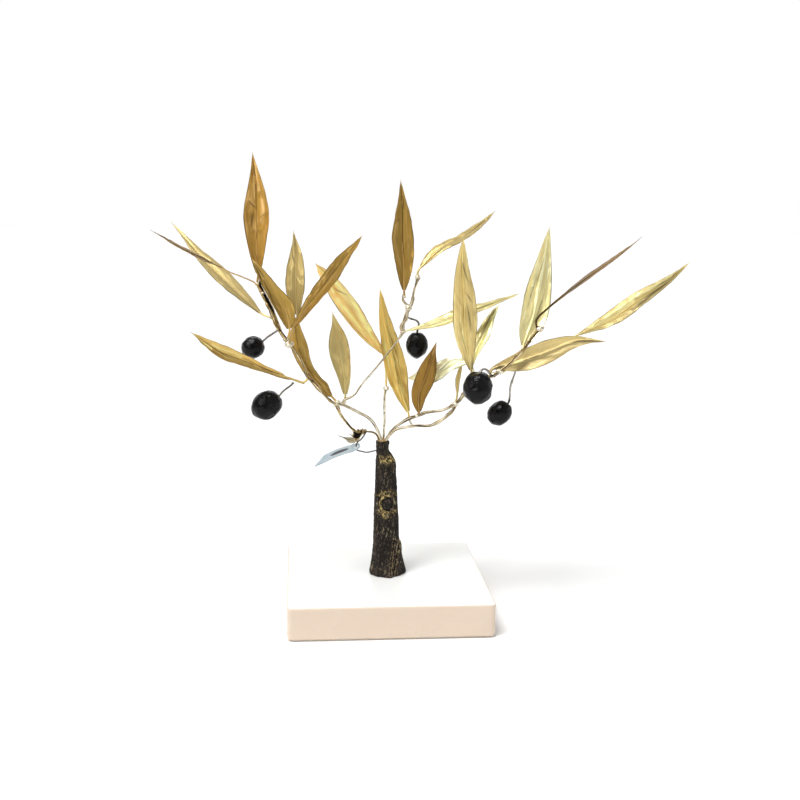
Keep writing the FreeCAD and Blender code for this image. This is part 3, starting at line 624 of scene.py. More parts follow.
def olive_material():
    n = Nodes("olive_lacquer")
    mottle = n.noise(160, 4, 0.55)
    skin = n.noise(520, 5, 0.6)
    pores = n.voronoi(900, "SMOOTH_F1")
    base = n.ramp(mottle, (0.35, (0.0015, 0.0015, 0.002)), (0.7, (0.006, 0.0055, 0.006)))
    normal = n.bumps((skin, 0.45, 0.5), (pores, 0.12, 0.1))
    return n.set(Base_Color=base, Roughness=n.span(mottle, 0.07, 0.18), IOR=1.25, Normal=normal)


def bark_material():
    """Almost black bark with tan flecks; attributes hold the gilded knot, the bare wood in the splits, and painted
    shade in the knot's grooves and the splits.
    """
    n = Nodes("bark")
    ridges = n.noise(210, 8, 0.68, stretch=(1, 1, 0.3), warp=0.5)
    dots = n.noise(1250, 3, 0.65, stretch=(1, 1, 0.6))
    dashes = n.noise(620, 3, 0.6, stretch=(1, 1, 0.3), warp=0.3)
    regions = n.noise(75, 3, 0.5)
    base = n.ramp(ridges, (0.34, (0.004, 0.003, 0.002)), (0.52, (0.015, 0.011, 0.008)),
                  (0.72, (0.055, 0.040, 0.028)))
    dense = n.span(regions, 0.35, 1.0, 0.4, 0.62)
    base = n.mix(n.times(n.span(dots, 0, 0.9, 0.57, 0.64), dense), base, (0.17, 0.14, 0.10))
    base = n.mix(n.times(n.span(dashes, 0, 0.9, 0.61, 0.67), dense), base, (0.35, 0.28, 0.17))
    gilt = n.times(n.attribute("gilt"), n.span(dots, 0.0, 1.0, 0.47, 0.56))
    base = n.mix(gilt, base, (0.66, 0.49, 0.18))
    grain = n.noise(500, 5, 0.6, stretch=(1, 1, 0.1))
    wood = n.ramp(grain, (0.3, (0.12, 0.08, 0.04)), (0.7, (0.50, 0.37, 0.22)))
    bare = n.times(n.attribute("bare"), n.span(dots, 0.0, 1.0, 0.46, 0.55))
    base = n.mix(bare, base, wood)
    # painted shade, almost black, in the knot's groove and centre and in the splits
    base = n.mix(n.attribute("hollow"), base, (0.004, 0.003, 0.003))
    normal = n.bumps((ridges, 0.9, 0.9), (dots, 0.5, 0.25))
    return n.set(Base_Color=base, Roughness=n.span(ridges, 0.9, 0.6), Specular_IOR_Level=0.2, Normal=normal)


def marble_material():
    """White marble, painted whiter on top and darker and warmer on its sides as light from above, with faint
    veins.
    """
    n = Nodes("marble")
    clouds = n.noise(14, 6, 0.6, warp=1.2)
    veins = n.noise(22, 8, 0.62, warp=2.2)
    crystal = n.voronoi(1100)
    ridge = n.math("ABSOLUTE", n.math("SUBTRACT", veins, 0.5))
    vein = n.span(ridge, 1, 0, 0.0, 0.022)
    upward = n.split(n.add("ShaderNodeNewGeometry").outputs["Normal"])["Z"]
    shaded_sides = n.ramp(clouds, (0.35, (0.69, 0.56, 0.44)), (0.68, (0.72, 0.59, 0.47)))
    lit_top = n.ramp(clouds, (0.35, (0.86, 0.87, 0.85)), (0.68, (0.91, 0.91, 0.89)))
    # painted light: the top lighter and the sides darker, by how far the surface faces up
    base = n.mix(n.span(upward, 0, 1, 0.90, 0.985), shaded_sides, lit_top)
    base = n.mix(n.times(vein, n.span(clouds, 0, 0.2, 0.45, 0.65)), base, (0.52, 0.47, 0.42))
    base = n.mix(n.span(crystal, 0.0, 0.05), base, (0.95, 0.9, 0.85))
    n.set(Subsurface_Weight=0.12, Subsurface_Radius=(1.0, 0.7, 0.5), Subsurface_Scale=2 * MM)
    return n.set(Base_Color=base, Roughness=n.span(clouds, 0.30, 0.42), Normal=n.bumps((crystal, 0.05, 0.05)))


def felt_material():
    n = Nodes("felt")
    fibres = n.noise(1500, 6, 0.7, stretch=(1, 1, 0.4), warp=0.8)
    base = n.ramp(fibres, (0.3, (0.62, 0.56, 0.49)), (0.7, (0.82, 0.77, 0.70)))
    return n.set(Base_Color=base, Roughness=0.95, Sheen_Weight=0.4, Normal=n.bumps((fibres, 0.9, 0.3)))


def steel_material():
    brushed = dict(scale=900, rough=0.6, stretch=(1, 1, 0.05))
    stops = (0.3, (0.36, 0.37, 0.39)), (0.7, (0.62, 0.62, 0.60))
    return plain_material("zinc_steel", brushed, stops, (0.25, 0.45), (0.2, 0.05), Metallic=1.0)


def glue_material():
    swirl = dict(scale=300, rough=0.6, warp=1.0)
    stops = (0.3, (0.16, 0.085, 0.025)), (0.7, (0.46, 0.28, 0.09))
    return plain_material("amber_resin", swirl, stops, (0.2, 0.4), (0.4, 0.3), Coat_Weight=0.4)


def card_material():
    """Thin bluish card with fibres, and a dark printed bar held in the attribute "print"."""
    n = Nodes("card")
    fibres = n.noise(420, 6, 0.7, warp=0.6)
    base = n.ramp(fibres, (0.3, (0.24, 0.32, 0.37)), (0.52, (0.35, 0.42, 0.45)), (0.7, (0.48, 0.54, 0.55)))
    worn = n.times(n.attribute("print"), n.span(fibres, 0.9, 1.0, 0.35, 0.5))
    base = n.mix(worn, base, (0.010, 0.007, 0.010))
    return n.set(Base_Color=base, Roughness=n.span(fibres, 0.35, 0.6), Normal=n.bumps((fibres, 0.3, 0.2)))


# ---------------- leaves

def blade_rows(node):
    """Left rim, rib and right rim of a leaf's blade, and its stalk's middle line, from stalk to tip."""
    loops = sections(node)
    ends = [np.linalg.norm(WOOD - loops[k].mean(0), axis=1).min() for k in (0, -1)]
    if ends[0] > ends[1]:
        loops = loops[::-1]
    rows, stalk = [], []
    last = None
    for loop in loops:
        gaps = np.linalg.norm(loop[:, None] - loop[None], axis=2)
        i, j = np.unravel_index(np.argmax(gaps), gaps.shape)
        left, right = loop[i], loop[j]
        if gaps[i, j] < STALK_WIDTH and not rows:
            stalk.append(loop_centre(loop))
            continue
        middle = (left + right) / 2
        across = unit(right - left)
        offset = (loop - middle) @ across
        following, next_offset = np.roll(loop, -1, 0), np.roll(offset, -1)
        crossing = [loop[k] + (following[k] - loop[k]) * offset[k] / (offset[k] - next_offset[k])
                    for k in range(len(loop)) if offset[k] * next_offset[k] < 0]
        rib = np.mean(crossing, 0) if crossing else middle
        if last is not None and across @ last < 0:
            left, right, across = right, left, -across
        last = across
        rows.append((left, rib, right))
    return np.array(rows), np.array(stalk)


def drawn_tip(node, rows):
    """Carries the rows on to the CAD leaf's own tip and a fine point just past it."""
    rows = rows[:-2]
    last = rows[-1]
    ahead = unit(last[1] - rows[-8][1])
    verts = welded(node)[0]
    near = verts[np.linalg.norm(verts - last[1], axis=1) < 9 * MM]
    tip = near[np.argmax((near - last[1]) @ ahead)] + ahead * TIP_DRAW
    shares = np.linspace(0, 1, 6)[1:, None, None]
    return np.concatenate([rows, last * (1 - shares) + tip * shares])


def segment_gap(x, y, x0, y0, x1, y1):
    """Distance from a point to a straight line's stretch, and how far along it the nearest place is."""
    run = max(1e-9, (x1 - x0) ** 2 + (y1 - y0) ** 2)
    t = clamp(((x - x0) * (x1 - x0) + (y - y0) * (y1 - y0)) / run)
    return math.hypot(x - x0 - (x1 - x0) * t, y - y0 - (y1 - y0) * t), t


def fold_gap(u, v, length, width, line):
    """The same on a blade, whose u and v are shares of its length and of its half width."""
    u0, v0, u1, v1 = line
    return segment_gap(u * length, v * width, u0 * length, v0 * width, u1 * length, v1 * width)


def crease_offset(u, v, length, width, creases):
    """How far the sharp folds move a point off the blade, and how deep in a fold it is, which sets the folds'
    painted shade.
    """
    offset, depth = 0.0, 0.0
    for *line, height, spread in creases:
        gap, t = fold_gap(u, v, length, width, line)
        taper = math.sin(math.pi * (0.08 + 0.84 * t)) ** 0.5
        near = max(0.0, 1 - gap / (spread * MM)) * taper
        offset += height * MM * near ** 1.4
        depth = max(depth, near ** 2 * (1.0 if height < 0 else 0.25))
    return offset, depth


def wrinkles(x, y, streaks, seed):
    """Height of a leaf's soft wrinkles, sharp ridges and long pleats."""
    ridge = 1 - abs(drift(x * 0.08 + y * 0.08, y * 0.22, 7, seed))
    return (1.6 * drift(x * 0.06, y * 0.16, 0, seed) + 0.7 * drift(x * 0.15, y * 0.35, 5, seed)
            + 0.6 * ridge ** 7 + 0.5 * streaks * drift(x * 0.05, y * 1.1, 9, seed))


def blade_point(row, tangent, u, v, length, seed, style):
    """A point of the blade's middle surface with its normal, and its paint marks: the folds' painted shade, the
    midrib and gleams as painted highlight or shade, and the side.
    """
    left, rib, right = row
    width = np.linalg.norm(right - left) / 2
    normal = unit(np.cross(tangent, unit(right - left)))
    side = right if v > 0 else left
    point_in = min(1.0, (1 - u) / 0.07) ** 0.8
    rag = 1 + 0.025 * drift(u * 14, math.copysign(3, v), 0, seed)
    point = rib + (side - rib) * abs(v) * rag * point_in
    x, y = u * length / MM, v * width / MM
    ends = min(1.0, 8 * u, 9 * (1 - u))
    ridge = bell(y, 0.55) * 0.3
    bow = style["cup"] * width / MM * (1 - (2 * abs(v) - 1) ** 2)
    veins = 0.04 * math.sin(x * 0.9 - abs(y) * 1.4) * abs(v)
    wrinkle = style["crinkle"] * wrinkles(x, y, style["streaks"], seed)
    ripple = style["wave"] * drift(x * 0.09, math.copysign(4, v), 2, seed) * abs(v) ** 2.5
    sharp, depth = crease_offset(u, v, length, width, style["creases"])
    lift = ((bow - ridge + veins + wrinkle + ripple) * MM + sharp) * ends
    at_stalk, at_tip = style["rib"]
    # darker towards the stalk, in the same channel as the folds' painted shade
    depth = max(depth, 0.45 * math.exp(-u / 0.06))
    # the midrib line: painted shade below 0, painted highlight above
    spine = bell(y, 0.36) * min(1.0, 6 * (1 - u)) * (at_stalk + (at_tip - at_stalk) * u)
    # gleams: painted highlight streaks
    for *line, spread in style["gleams"]:
        gap = fold_gap(u, v, length, width, line)[0]
        gleam = bell(gap, spread * MM) * (0.75 + 0.9 * drift(x * 0.12, y * 0.7, 11, seed))
        spine = max(spine, gleam) if spine > -0.3 else spine
    return point + normal * lift, normal, (depth, spine, v)


def sheet_points(rows, index, style):
    """The front and back points of a leaf's sheet, then its two ends, with blade and marks for each."""
    length = steps_of(rows[:, 1]).sum()
    tangents = [unit(t) for t in np.gradient(rows[:, 1], axis=0)]
    seed = Vector((index * 7.31, index * 3.17, 1.9))
    front, back, blade, marks = [], [], [], []
    for i, u in enumerate(np.arange(LEAF_ROWS) / (LEAF_ROWS - 1)):
        for k in range(LEAF_COLUMNS):
            v = 2 * k / (LEAF_COLUMNS - 1) - 1
            point, normal, mark = blade_point(rows[i], tangents[i], u, v, length, seed, style)
            thick = SHEET * (1.0 - 0.4 * abs(v) ** 6) * (1 - 0.4 * u)
            front.append(point + normal * thick)
            back.append(point - normal * thick)
            blade.append((u * length / MM, v * 7, index * 13.0))
            marks.append(mark)
    ends = [rows[0, 1], rows[-1, 1] + tangents[-1] * 0.4 * MM]
    return front + back + ends, blade * 2 + [(0, 0, index * 13.0)] * 2, marks * 2 + [(0, 0, 0)] * 2


def stalk_tube(foot, ribs, radius, index):
    """The stalk, which runs on under the blade as a midrib that thins out towards the tip."""
    reach = int(LEAF_ROWS * 0.8)
    spine = smooth(np.concatenate([foot, ribs[:reach]]) if len(foot) else ribs[:reach], 4)
    radii = np.concatenate([np.full(len(foot), radius), np.linspace(radius, STALK_END, reach)]) * MM
    wobble = np.array([1 + 0.16 * drift(k * 0.23, index) for k in range(len(spine))])
    return tube_mesh(spine, radii * wobble, STALK_SIDES, index, 0.12)


def make_leaf(node, index, tone, side=0.1, sheen=0.3, metal=0.8, stalk=(0.62, 0.3), **style):
    """A leaf of thin sheet with its stalk. Gives back the foot of the stalk."""
    style = dict(USUAL_STYLE, **style)
    rows, foot = blade_rows(node)
    rows = drawn_tip(node, rows)
    rows = smooth(rows.reshape(len(rows), 9), 4)
    rows = spaced(rows, LEAF_ROWS, rows[:, 3:6]).reshape(LEAF_ROWS, 3, 3)
    verts, blade, marks = sheet_points(rows, index, style)
    size = LEAF_ROWS * LEAF_COLUMNS
    first_row = list(range(LEAF_COLUMNS))
    ring = first_row + [k + size for k in reversed(first_row)]
    last_ring = [k + size - LEAF_COLUMNS for k in ring]
    faces = sheet_faces(LEAF_ROWS, LEAF_COLUMNS) + fan(ring, 2 * size) + fan(last_ring[::-1], 2 * size + 1)
    radius, shine = stalk
    tube = stalk_tube(foot, rows[:, 1], radius, index)
    extra = len(tube[0])
    blade += [(k * 0.02, 0.0, index * 13.0) for k in range(extra)]
    # the stalk's painted shade, at least a little, and its painted highlight
    marks += [(max(0.1, -shine), max(0.0, shine), 0.0)] * extra
    material = gilt_material("gilt_" + node, TONES[tone], side, style["streaks"], sheen, metal)
    stand_in(node, node + "_sheet", joined((verts, faces), tube), material, blade=blade, marks=marks)
    return foot[0] if len(foot) else rows[0, 1]


# ---------------- stage, light and camera

def make_stage():
    bm = bmesh.new()
    bmesh.ops.create_grid(bm, x_segments=8, y_segments=8, size=6.0)
    mesh = bpy.data.meshes.new("floor")
    bm.to_mesh(mesh)
    bm.free()
    floor = placed("floor", mesh)
    n = Nodes("floor_paper")
    tint = n.noise(3, 3, 0.5)
    floor.data.materials.append(n.set(Base_Color=n.ramp(tint, (0.3, 0.90), (0.7, 0.93)), Roughness=0.9))


def make_world():
    """White studio: darker towards the camera's side, and plain white to the camera itself."""
    world = bpy.data.worlds.new("studio")
    bpy.context.scene.world = world
    n = Nodes("studio", world)
    plain = n.tree.nodes["Background"]
    n.feed(plain.inputs["Color"], (1, 1, 1))
    way = n.places["Generated"]
    fade = n.span(n.split(way)["Y"], 0.42, 1.05, -1.0, 0.25, "SMOOTHSTEP")
    # soft brighter and darker patches, like screens and flags round the table
    screens = n.span(n.noise(1.5, 1, 0.5, vector=way), 0.35, 1.6, 0.38, 0.62)
    lighting = n.add("ShaderNodeBackground", {"Strength": n.times(fade, screens)})
    seen = n.add("ShaderNodeLightPath").outputs["Is Camera Ray"]
    mix = n.add("ShaderNodeMixShader", {0: seen, 1: lighting.outputs[0], 2: plain.outputs[0]})
    n.feed(n.tree.nodes["World Output"].inputs["Surface"], mix.outputs[0])


def make_light(name, kind, place, target, power):
    data = bpy.data.lights.new(name, kind)
    data.energy = power
    light = placed(name, data)
    light.location = place
    light.rotation_euler = (Vector(target) - Vector(place)).to_track_quat("-Z", "Y").to_euler()
    return data


def make_lights():
    """A broad key light from above the front left, and a weak soft box beside it."""
    key = make_light("key", "SUN", (-0.5, -0.5, 1.45), (0, 0, 0), 2.2)
    key.angle = math.radians(24)
    softbox = make_light("softbox", "AREA", (-0.62, -0.5, 0.75), (0, 0, 0.12), 3.0)
    softbox.shape = "RECTANGLE"
    softbox.size, softbox.size_y = 0.5, 0.6


CAMERA_PLACE = Vector((-0.055, -0.679, 0.256))
CAMERA_YAW, CAMERA_PITCH, CAMERA_ROLL = 5.31, 10.55, 0.79      # degrees: to the right, down, anticlockwise
CAMERA_VIEW_DEG = 38.45


def make_camera():
    yaw, pitch, roll = (math.radians(a) for a in (CAMERA_YAW, CAMERA_PITCH, CAMERA_ROLL))
    turn = Matrix.Rotation(-yaw, 4, "Z") @ Matrix.Rotation(math.pi / 2 - pitch, 4, "X")
    data = bpy.data.cameras.new("camera")
    data.sensor_width = 36
    data.angle = math.radians(CAMERA_VIEW_DEG)
    data.clip_start = 0.01
    camera = placed("camera", data)
    camera.matrix_world = Matrix.Translation(CAMERA_PLACE) @ turn @ Matrix.Rotation(roll, 4, "Z")
    bpy.context.scene.camera = camera


# ---------------- the object

def traced(node, step=0.8 * MM):
    """The centre line of a wire and its radii, at even steps, and its length."""
    loops = sections(node, step, 2 * MM)
    centres = smooth([loop_centre(loop) for loop in loops], 3)
    radii = smooth([math.sqrt(loop_area(loop) / math.pi) for loop in loops], 1)
    length = steps_of(centres).sum()
    count = max(12, int(length / WIRE_STEP))
    return spaced(centres, count), spaced(radii, count, centres), length


def traced_up(node, reach):
    """The first stretch of a leaf's middle line, from the foot of its stalk."""
    rows, foot = blade_rows(node)
    line = np.concatenate([foot, rows[:, 1]]) if len(foot) else rows[:, 1]
    along = np.concatenate([[0], np.cumsum(steps_of(line))])
    return line[along < reach]


def tube_runs(count, sides, length, seed):
    """For each point of a tube: mm along it, then its turn round it as two numbers."""
    turns = [2 * math.pi * k / sides for k in range(sides)]
    return [(i * length / count / MM, 4 * math.sin(turn), seed * 9.0 + 4 * math.cos(turn))
            for i in range(count) for turn in turns]


def make_twig(node, index, material, flat=0.08, rugged=1.0):
    """A gilded twig or stem: the CAD wire with the knots and dents of a cast twig."""
    centres, radii, length = traced(node)
    count = len(centres)
    for i in range(count):
        s = i * length / count / MM
        knot = max(0.0, math.sin(s * 0.55 + index * 1.7)) ** 14
        radii[i] *= 0.96 + rugged * (0.26 * knot + 0.16 * drift(s * 0.35, index * 5.1))
        wander = noise.noise_vector(Vector((s * 0.16, index * 2.3, 4)))
        centres[i] += np.array(wander) * radii[i] * 0.25 * rugged
    shape = tube_mesh(centres, radii, TWIG_SIDES, index, 0.22 * rugged, flat)
    stand_in(node, node + "_twig", shape, material, run=tube_runs(count, TWIG_SIDES, length, index))
    return centres, radii


def make_binding(material):
    """Thin wire wound in a close coil round the joint of the left branch."""
    centres, radii, length = traced("binding_left")
    radius = radii.max() - COIL_WIRE
    tangent = unit(centres[-1] - centres[0])
    side = unit(np.cross(tangent, (0.2, 0.1, 1.0)))
    other = np.cross(tangent, side)
    shares = np.linspace(0, 1, len(centres))
    path = []
    for t in np.linspace(0, 1, COIL_TURNS * COIL_STEPS):
        middle = np.array([np.interp(t, shares, centres[:, k]) for k in range(3)])
        angle = 2 * math.pi * COIL_TURNS * t
        wander = 1 + 0.12 * drift(t * 9, 3, 1)
        path.append(middle + (side * math.cos(angle) + other * math.sin(angle)) * radius * wander)
    wire = tube_mesh(np.array(path), np.full(len(path), COIL_WIRE), COIL_SIDES, 5, 0.1)
    core = tube_mesh(centres, radii * CORE_SHARE, TWIG_SIDES, 6, 0.15)
    runs = tube_runs(len(path), COIL_SIDES, length * 8, 3) + tube_runs(len(centres), TWIG_SIDES, length, 4)
    stand_in("binding_left", "binding_coil", joined(wire, core), material, run=runs)


def make_beads(places, material):
    """Drops of solder at the joints, as (point, radius)."""
    beads = [bead_mesh(point, radius, k) for k, (point, radius) in enumerate(places)]
    new_piece("solder_beads", joined(*beads), material, "gilt_pale")


def sheath_inner_shade(t, share):
    """How black the painted shade inside the sheath is, at t along the sheath and at a share of the way from its
    middle to its rim.
    """
    return clamp((1.6 * t - 0.2 - share) * 6) if share < 0.98 else 0.0


def make_sheath(material):
    """A curled dry sheath on the upper left branch, open to the front, with painted shade inside."""
    wire = traced("branch_left_upper")[0]
    wire = wire if wire[-1][2] > wire[0][2] else wire[::-1]
    top = traced_up("leaf_left_top", SHEATH_ON_LEAF)
    path = smooth(np.concatenate([wire[-SHEATH_POINTS:], top]), 12)
    path = spaced(path, SHEATH_ROWS) + np.array(SHEATH_SHIFT) * MM
    tangents = np.gradient(path, axis=0)
    spread = [2 * k / (SHEATH_COLUMNS - 1) - 1 for k in range(SHEATH_COLUMNS)]
    verts, inner_shade = [], []
    for inset in (0.0, SHEATH_SHEET):
        for i, (point, tangent) in enumerate(zip(path, tangents)):
            t = i / (SHEATH_ROWS - 1)
            side = unit(np.cross(unit(tangent), (0.0, -1.0, 0.0)))
            front = np.cross(side, unit(tangent))
            radius = (0.12 + SHEATH_RADIUS * math.sin(math.pi * t ** 1.2) ** 0.7) * MM
            for k, share in enumerate(spread):
                angle = math.radians(SHEATH_HALF_ANGLE * share)
                rag = 1 + 0.18 * drift(t * 7, k * 0.2, 3)
                ray = side * math.sin(angle) * (1.05 - 0.45 * t) - front * math.cos(angle)
                verts.append(point + ray * max(0.03 * MM, radius * rag - inset))
                # the inner sheet gets the painted shade
                inner_shade.append(sheath_inner_shade(t, abs(share)) if inset else 0.0)
    size = SHEATH_ROWS * SHEATH_COLUMNS
    faces = flipped(sheet_faces(SHEATH_ROWS, SHEATH_COLUMNS))
    rim = [(k, k + 1, k + 1 + size, k + size) for k in range(SHEATH_COLUMNS - 1)]
    faces += rim + flipped(shifted(rim, size - SHEATH_COLUMNS))
    new_piece("dry_sheath", (verts, faces), material, slot_of("bract_cup"), inside=inner_shade)


def make_bract(material):
    """The dry bract: a crumpled cup, open towards the front, with a ragged rim."""
    cup = welded("bract_cup")[0]
    point = cup[np.argmin(cup[:, 2])]
    mouth = cup[np.linalg.norm(cup - point, axis=1) > 3 * MM].mean(0)
    axis = unit(mouth - point)
    height = np.linalg.norm(mouth - point)
    front = unit(BRACT_FRONT - axis * (BRACT_FRONT @ axis))
    side = np.cross(axis, front)
    verts = []
    for inset in (0.0, BRACT_SHEET):
        for r in range(BRACT_RINGS):
            for angle, ray in ring_rays(front, side, BRACT_AROUND):
                x, y = math.cos(angle), math.sin(angle)
                rim = 0.82 - 0.36 * x + 0.75 * drift(x * 2.2, y * 2.2, 7)
                t = r / (BRACT_RINGS - 1) * max(0.3, rim)
                crumple = 1 + 0.25 * drift(x * 1.7, y * 1.7, t * 2)
                radius = max(0.1 * MM, BRACT_RADIUS * t * crumple + 0.35 * MM - inset)
                verts.append(point + axis * (height * t * 1.08 + inset) + ray * radius)
    size = BRACT_AROUND * BRACT_RINGS
    outer = grid_faces(BRACT_RINGS, BRACT_AROUND, closed=True)
    faces = outer + shifted(flipped(outer), size)
    rim = list(range(size - BRACT_AROUND, size))
    faces += [(a, b, b + size, a + size) for a, b in zip(rim, rim[1:] + rim[:1])]
    faces.append(tuple(range(BRACT_AROUND))[::-1])
    faces.append(tuple(range(size, size + BRACT_AROUND)))
    # painted shade inside the cup, fading out at the rim
    inner_shade = [min(1.0, (BRACT_RINGS - 1 - k // BRACT_AROUND) / 3) for k in range(size)]
    stand_in("bract_cup", "bract_shell", (verts, faces), material, inside=[0.0] * size + inner_shade)


def make_tag(material):
    """The hang tag: the CAD card cut into a fine grid, then gently curled away from its hole."""
    bm = bmesh.new()
    bm.from_mesh(frame["nodes"]["tag_card"].data)
    bmesh.ops.remove_doubles(bm, verts=bm.verts, dist=2e-6)
    cloud = np.array([v.co for v in bm.verts])
    hinge = np.array(TAG_HINGE)
    tip = cloud[np.argmin(cloud[:, 0])]
    along = unit(tip - hinge)
    thin = np.linalg.svd(cloud - cloud.mean(0))[2][2]
    thin = thin if thin[2] > 0 else -thin
    across = np.cross(thin, along)
    for direction, reach in ((along, TAG_ALONG), (across, TAG_ACROSS)):
        for step in np.arange(*reach, TAG_STEP):
            geometry = bm.verts[:] + bm.edges[:] + bm.faces[:]
            place = hinge + direction * step * MM
            bmesh.ops.bisect_plane(bm, geom=geometry, plane_co=place, plane_no=direction)
    bmesh.ops.triangulate(bm, faces=bm.faces)
    verts, prints = [], []
    for v in bm.verts:
        point = np.array(v.co)
        run, width = (point - hinge) @ along / MM, (point - hinge) @ across / MM
        far = max(0.0, run - TAG_CURL_FROM) / TAG_CURL_RUN
        curl = -1.6 * far ** 2 + 0.9 * math.sin(3.1 * far) + 0.9 * far * (width / 5.5) ** 2
        ripple = 0.35 * far * drift(run * 0.2, width * 0.3, 2)
        verts.append(point + thin * (curl + ripple) * MM)
        inside = 1 - ((run - PRINT_AT[0]) / PRINT_HALF[0]) ** 2 - ((width - PRINT_AT[1]) / PRINT_HALF[1]) ** 2
        prints.append(clamp(inside * 4))
    bm.verts.index_update()
    faces = [tuple(v.index for v in f.verts) for f in bm.faces]
    bm.free()
    stand_in("tag_card", "tag_sheet", (verts, faces), material, body="tag", print=prints)


def bark_relief(x, y, z):
    """Height of the bark in mm: furrows, a rooted foot, and a small step at the right of the foot."""
    coarse = drift(x * 0.42, y * 0.42, z * 0.09)
    cracks = abs(drift(x * 0.75, y * 0.75, z * 0.17 + 9))
    fine = drift(x * 1.9, y * 1.9, z * 0.8)
    angle = math.atan2(y, x)
    foot = max(0.0, (FOOT_Z - z) / 11) ** 2
    lift = 0.45 * coarse - 0.45 * max(0.0, 0.22 - cracks) / 0.22 + 0.16 * fine
    lift += foot * (0.25 * math.cos(5 * angle + 0.6) + 0.2 * math.cos(9 * angle) - 0.55)
    lift -= 0.9 * max(0.0, (EDGE_Z - z) / 1.2) ** 2
    return lift + 0.7 * clamp(x / 2 - 3) * clamp((STEP_TOP_Z - z) / 0.5) * clamp((z - STEP_LOW_Z) / 12)


def bark_marks(x, z):
    """On the front: the height of the knot and the splits, and the paint of gilt, of painted shade in the hollows,
    and of bare wood.
    """
    knot = math.hypot(x - KNOT_X, (z - KNOT_Z) * KNOT_FLAT)
    lift = 0.9 * bell(knot, 2.0) - 0.75 * bell(knot - KNOT_GROOVE, 0.6) + 0.55 * bell(knot - KNOT_RING, 0.7)
    ring = bell(knot - KNOT_RING, 0.55) * (0.95 if x < KNOT_X + 1.2 else 0.12)
    halo = bell(knot - KNOT_HALO, 1.1) * (0.62 + 0.9 * drift(x * 0.35, z * 0.35, 4)) * (abs(z - KNOT_Z) > 4)
    top = bell(z - TOP_FLECKS_Z, 1.9) * (x > -4.6) * (0.75 + 1.6 * drift(x * 0.9, z * 0.9, 8))
    # painted shade in the knot's groove and centre
    hollow = 0.8 * bell(knot - KNOT_GROOVE, 0.5) + 0.6 * bell(knot - 0.6, 0.8)
    bare = 0.0
    for split in SPLITS:
        gap = segment_gap(x, z, *split)[0] + 0.5 * drift(x * 0.8, z * 0.5, 6)
        lift -= 0.8 * bell(gap, 0.4)
        hollow = max(hollow, bell(gap, 0.3))
        bare = max(bare, bell(gap - 0.75, 0.35))
    return lift, clamp(max(ring, halo, top)), clamp(hollow), clamp(bare)


def make_trunk(material):
    """The bark, built again in fine rings over the CAD trunk's outline."""
    mesh = welded("trunk")
    heights = mesh[0][:, 2]
    wanted = np.linspace(-math.pi, math.pi, BARK_AROUND, endpoint=False)
    verts, marks = [], []
    for z in np.linspace(heights.min() + BARK_INSET, heights.max() - BARK_INSET, BARK_LEVELS):
        loop = cut(mesh, np.array((0, 0, z)), np.array((0, 0, 1.0)), outermost=True)
        centre = loop_centre(loop)
        rays = loop - centre
        angles = np.arctan2(rays[:, 1], rays[:, 0])
        order = np.argsort(angles)
        radii = np.interp(wanted, angles[order], np.hypot(rays[:, 0], rays[:, 1])[order], period=2 * math.pi)
        for angle, radius in zip(wanted, radii):
            outward = np.array((math.cos(angle), math.sin(angle), 0))
            point = centre + outward * radius
            place = point / MM
            lift, *paint = bark_marks(place[0], place[2]) if place[1] < 0 else (0.0, 0.0, 0.0, 0.0)
            verts.append(point + outward * (bark_relief(*place) + lift) * MM)
            marks.append(paint)
    faces = grid_faces(BARK_LEVELS, BARK_AROUND, closed=True)
    first = list(range(BARK_AROUND))
    last = [k + (BARK_LEVELS - 1) * BARK_AROUND for k in first]
    for ring, aim in ((first, 1), (last, -1)):
        faces += fan(ring[::aim], len(verts))
        verts.append(np.mean([verts[k] for k in ring], 0))
        marks.append((0.0, 0.0, 0.6))
    gilt, hollow, bare = np.array(marks).T
    stand_in("trunk", "trunk_bark", (verts, faces), material, gilt=gilt, hollow=hollow, bare=bare)


def dried(source):
    """A CAD solid's points and faces, remeshed evenly and relaxed."""
    rough = placed("rough", source.data.copy())
    remesh = rough.modifiers.new("remesh", "REMESH")
    remesh.mode = "VOXEL"
    remesh.voxel_size = OLIVE_VOXEL
    rough.modifiers.new("relax", "SMOOTH").iterations = 6
    shape = rough.evaluated_get(bpy.context.evaluated_depsgraph_get()).to_mesh()
    verts = points_of(shape)
    faces = [tuple(p.vertices) for p in shape.polygons]
    bpy.data.objects.remove(rough)
    return verts, faces


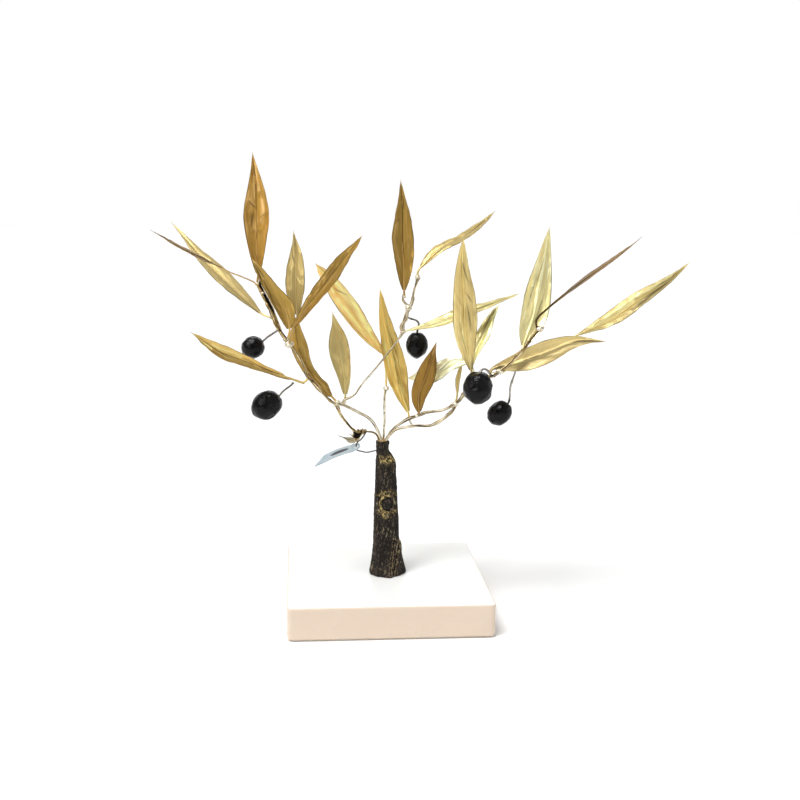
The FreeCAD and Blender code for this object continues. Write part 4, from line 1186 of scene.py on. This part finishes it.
def make_olive(node, index, material):
    """An olive: the CAD oval, dried into soft flats, wrinkled, with a nub and a dimple at its ends."""
    verts, faces = dried(frame["nodes"][node])
    middle = verts.mean(0)
    size = np.linalg.norm(verts - middle, axis=1).mean()
    stem = points_of(frame["nodes"][node.replace("olive_", "olive_stem_")].data)
    top = Vector(stem[np.argmin(np.linalg.norm(stem - middle, axis=1))] - middle).normalized()
    seed = Vector((index * 4.1, 0, 0))
    flats = [noise.noise_vector(Vector((index * 3.3 + k * 1.7, k * 0.9, 2.5))).normalized()
             for k in range(OLIVE_FLATS)]
    out = []
    for v in verts:
        ray = Vector((v - middle) / size)
        aim = ray.normalized()
        flat = min([1.0] + [FLAT_AT / aim.dot(f) for f in flats if aim.dot(f) > 0.9])
        dent = 0.05 * drift(*(ray * 1.3), seed) + 0.03 * drift(*(ray * 3.0), seed)
        wrinkle = 0.02 * abs(drift(*(ray * 6.5), seed)) + 0.006 * drift(*(ray * 14), seed)
        nub = 0.03 * math.exp(-((1 + aim.dot(top)) / 0.012)) - 0.06 * math.exp(-((1 - aim.dot(top)) / 0.03))
        out.append(middle + (v - middle) * (flat + dent - wrinkle + nub + 0.02))
    stand_in(node, node + "_fruit", (out, faces), material)


def make_branches(beads):
    """Every wire, with a place for solder at each end that is clear of the trunk."""
    wires = {finish: wire_material(*tone) for finish, tone in WIRE_TONES.items()}
    for index, node in enumerate(TWIGS):
        if node.startswith("olive_stem"):
            make_twig(node, index, wires["grey"])
            continue
        finish = next((finish for finish, names in WIRE_FINISHES.items() if node in names), "pale")
        flat, rugged = (0.22, 1.0) if finish == "brown" else (0.08, 0.35 if node in DRAWN_WIRES else 1.0)
        centres, radii = make_twig(node, index, wires[finish], flat, rugged)
        for end in (0, -1):
            if centres[end][2] > BEADS_FROM_Z and node != "link_left":
                beads.append((centres[end], radii[end] * BEAD_SHARE))
    return wires


make_stage()
make_world()
make_lights()
make_camera()

beads = []
for index, (node, style) in enumerate(LEAVES.items()):
    beads.append((make_leaf(node, index, **style), (0.75 + 0.25 * (index % 3)) * MM))
wires = make_branches(beads)
make_beads(beads, solder_material())
make_binding(wires["brown"])
dry = bract_material()
make_bract(dry)
make_sheath(dry)
make_tag(card_material())
make_trunk(bark_material())

lacquer = olive_material()
for index, node in enumerate(OLIVES):
    make_olive(node, index, lacquer)

for node, material in (
        ("marble_base", marble_material()), ("felt_sheet", felt_material()), ("base_screw", steel_material()),
        ("screw_washer", steel_material()), ("glue_plug", glue_material()), ("tag_wire", wires["dark"])):
    data = frame["nodes"][node].data
    data.materials.clear()
    data.materials.append(material)

bpy.context.scene.view_settings.view_transform = "Standard"
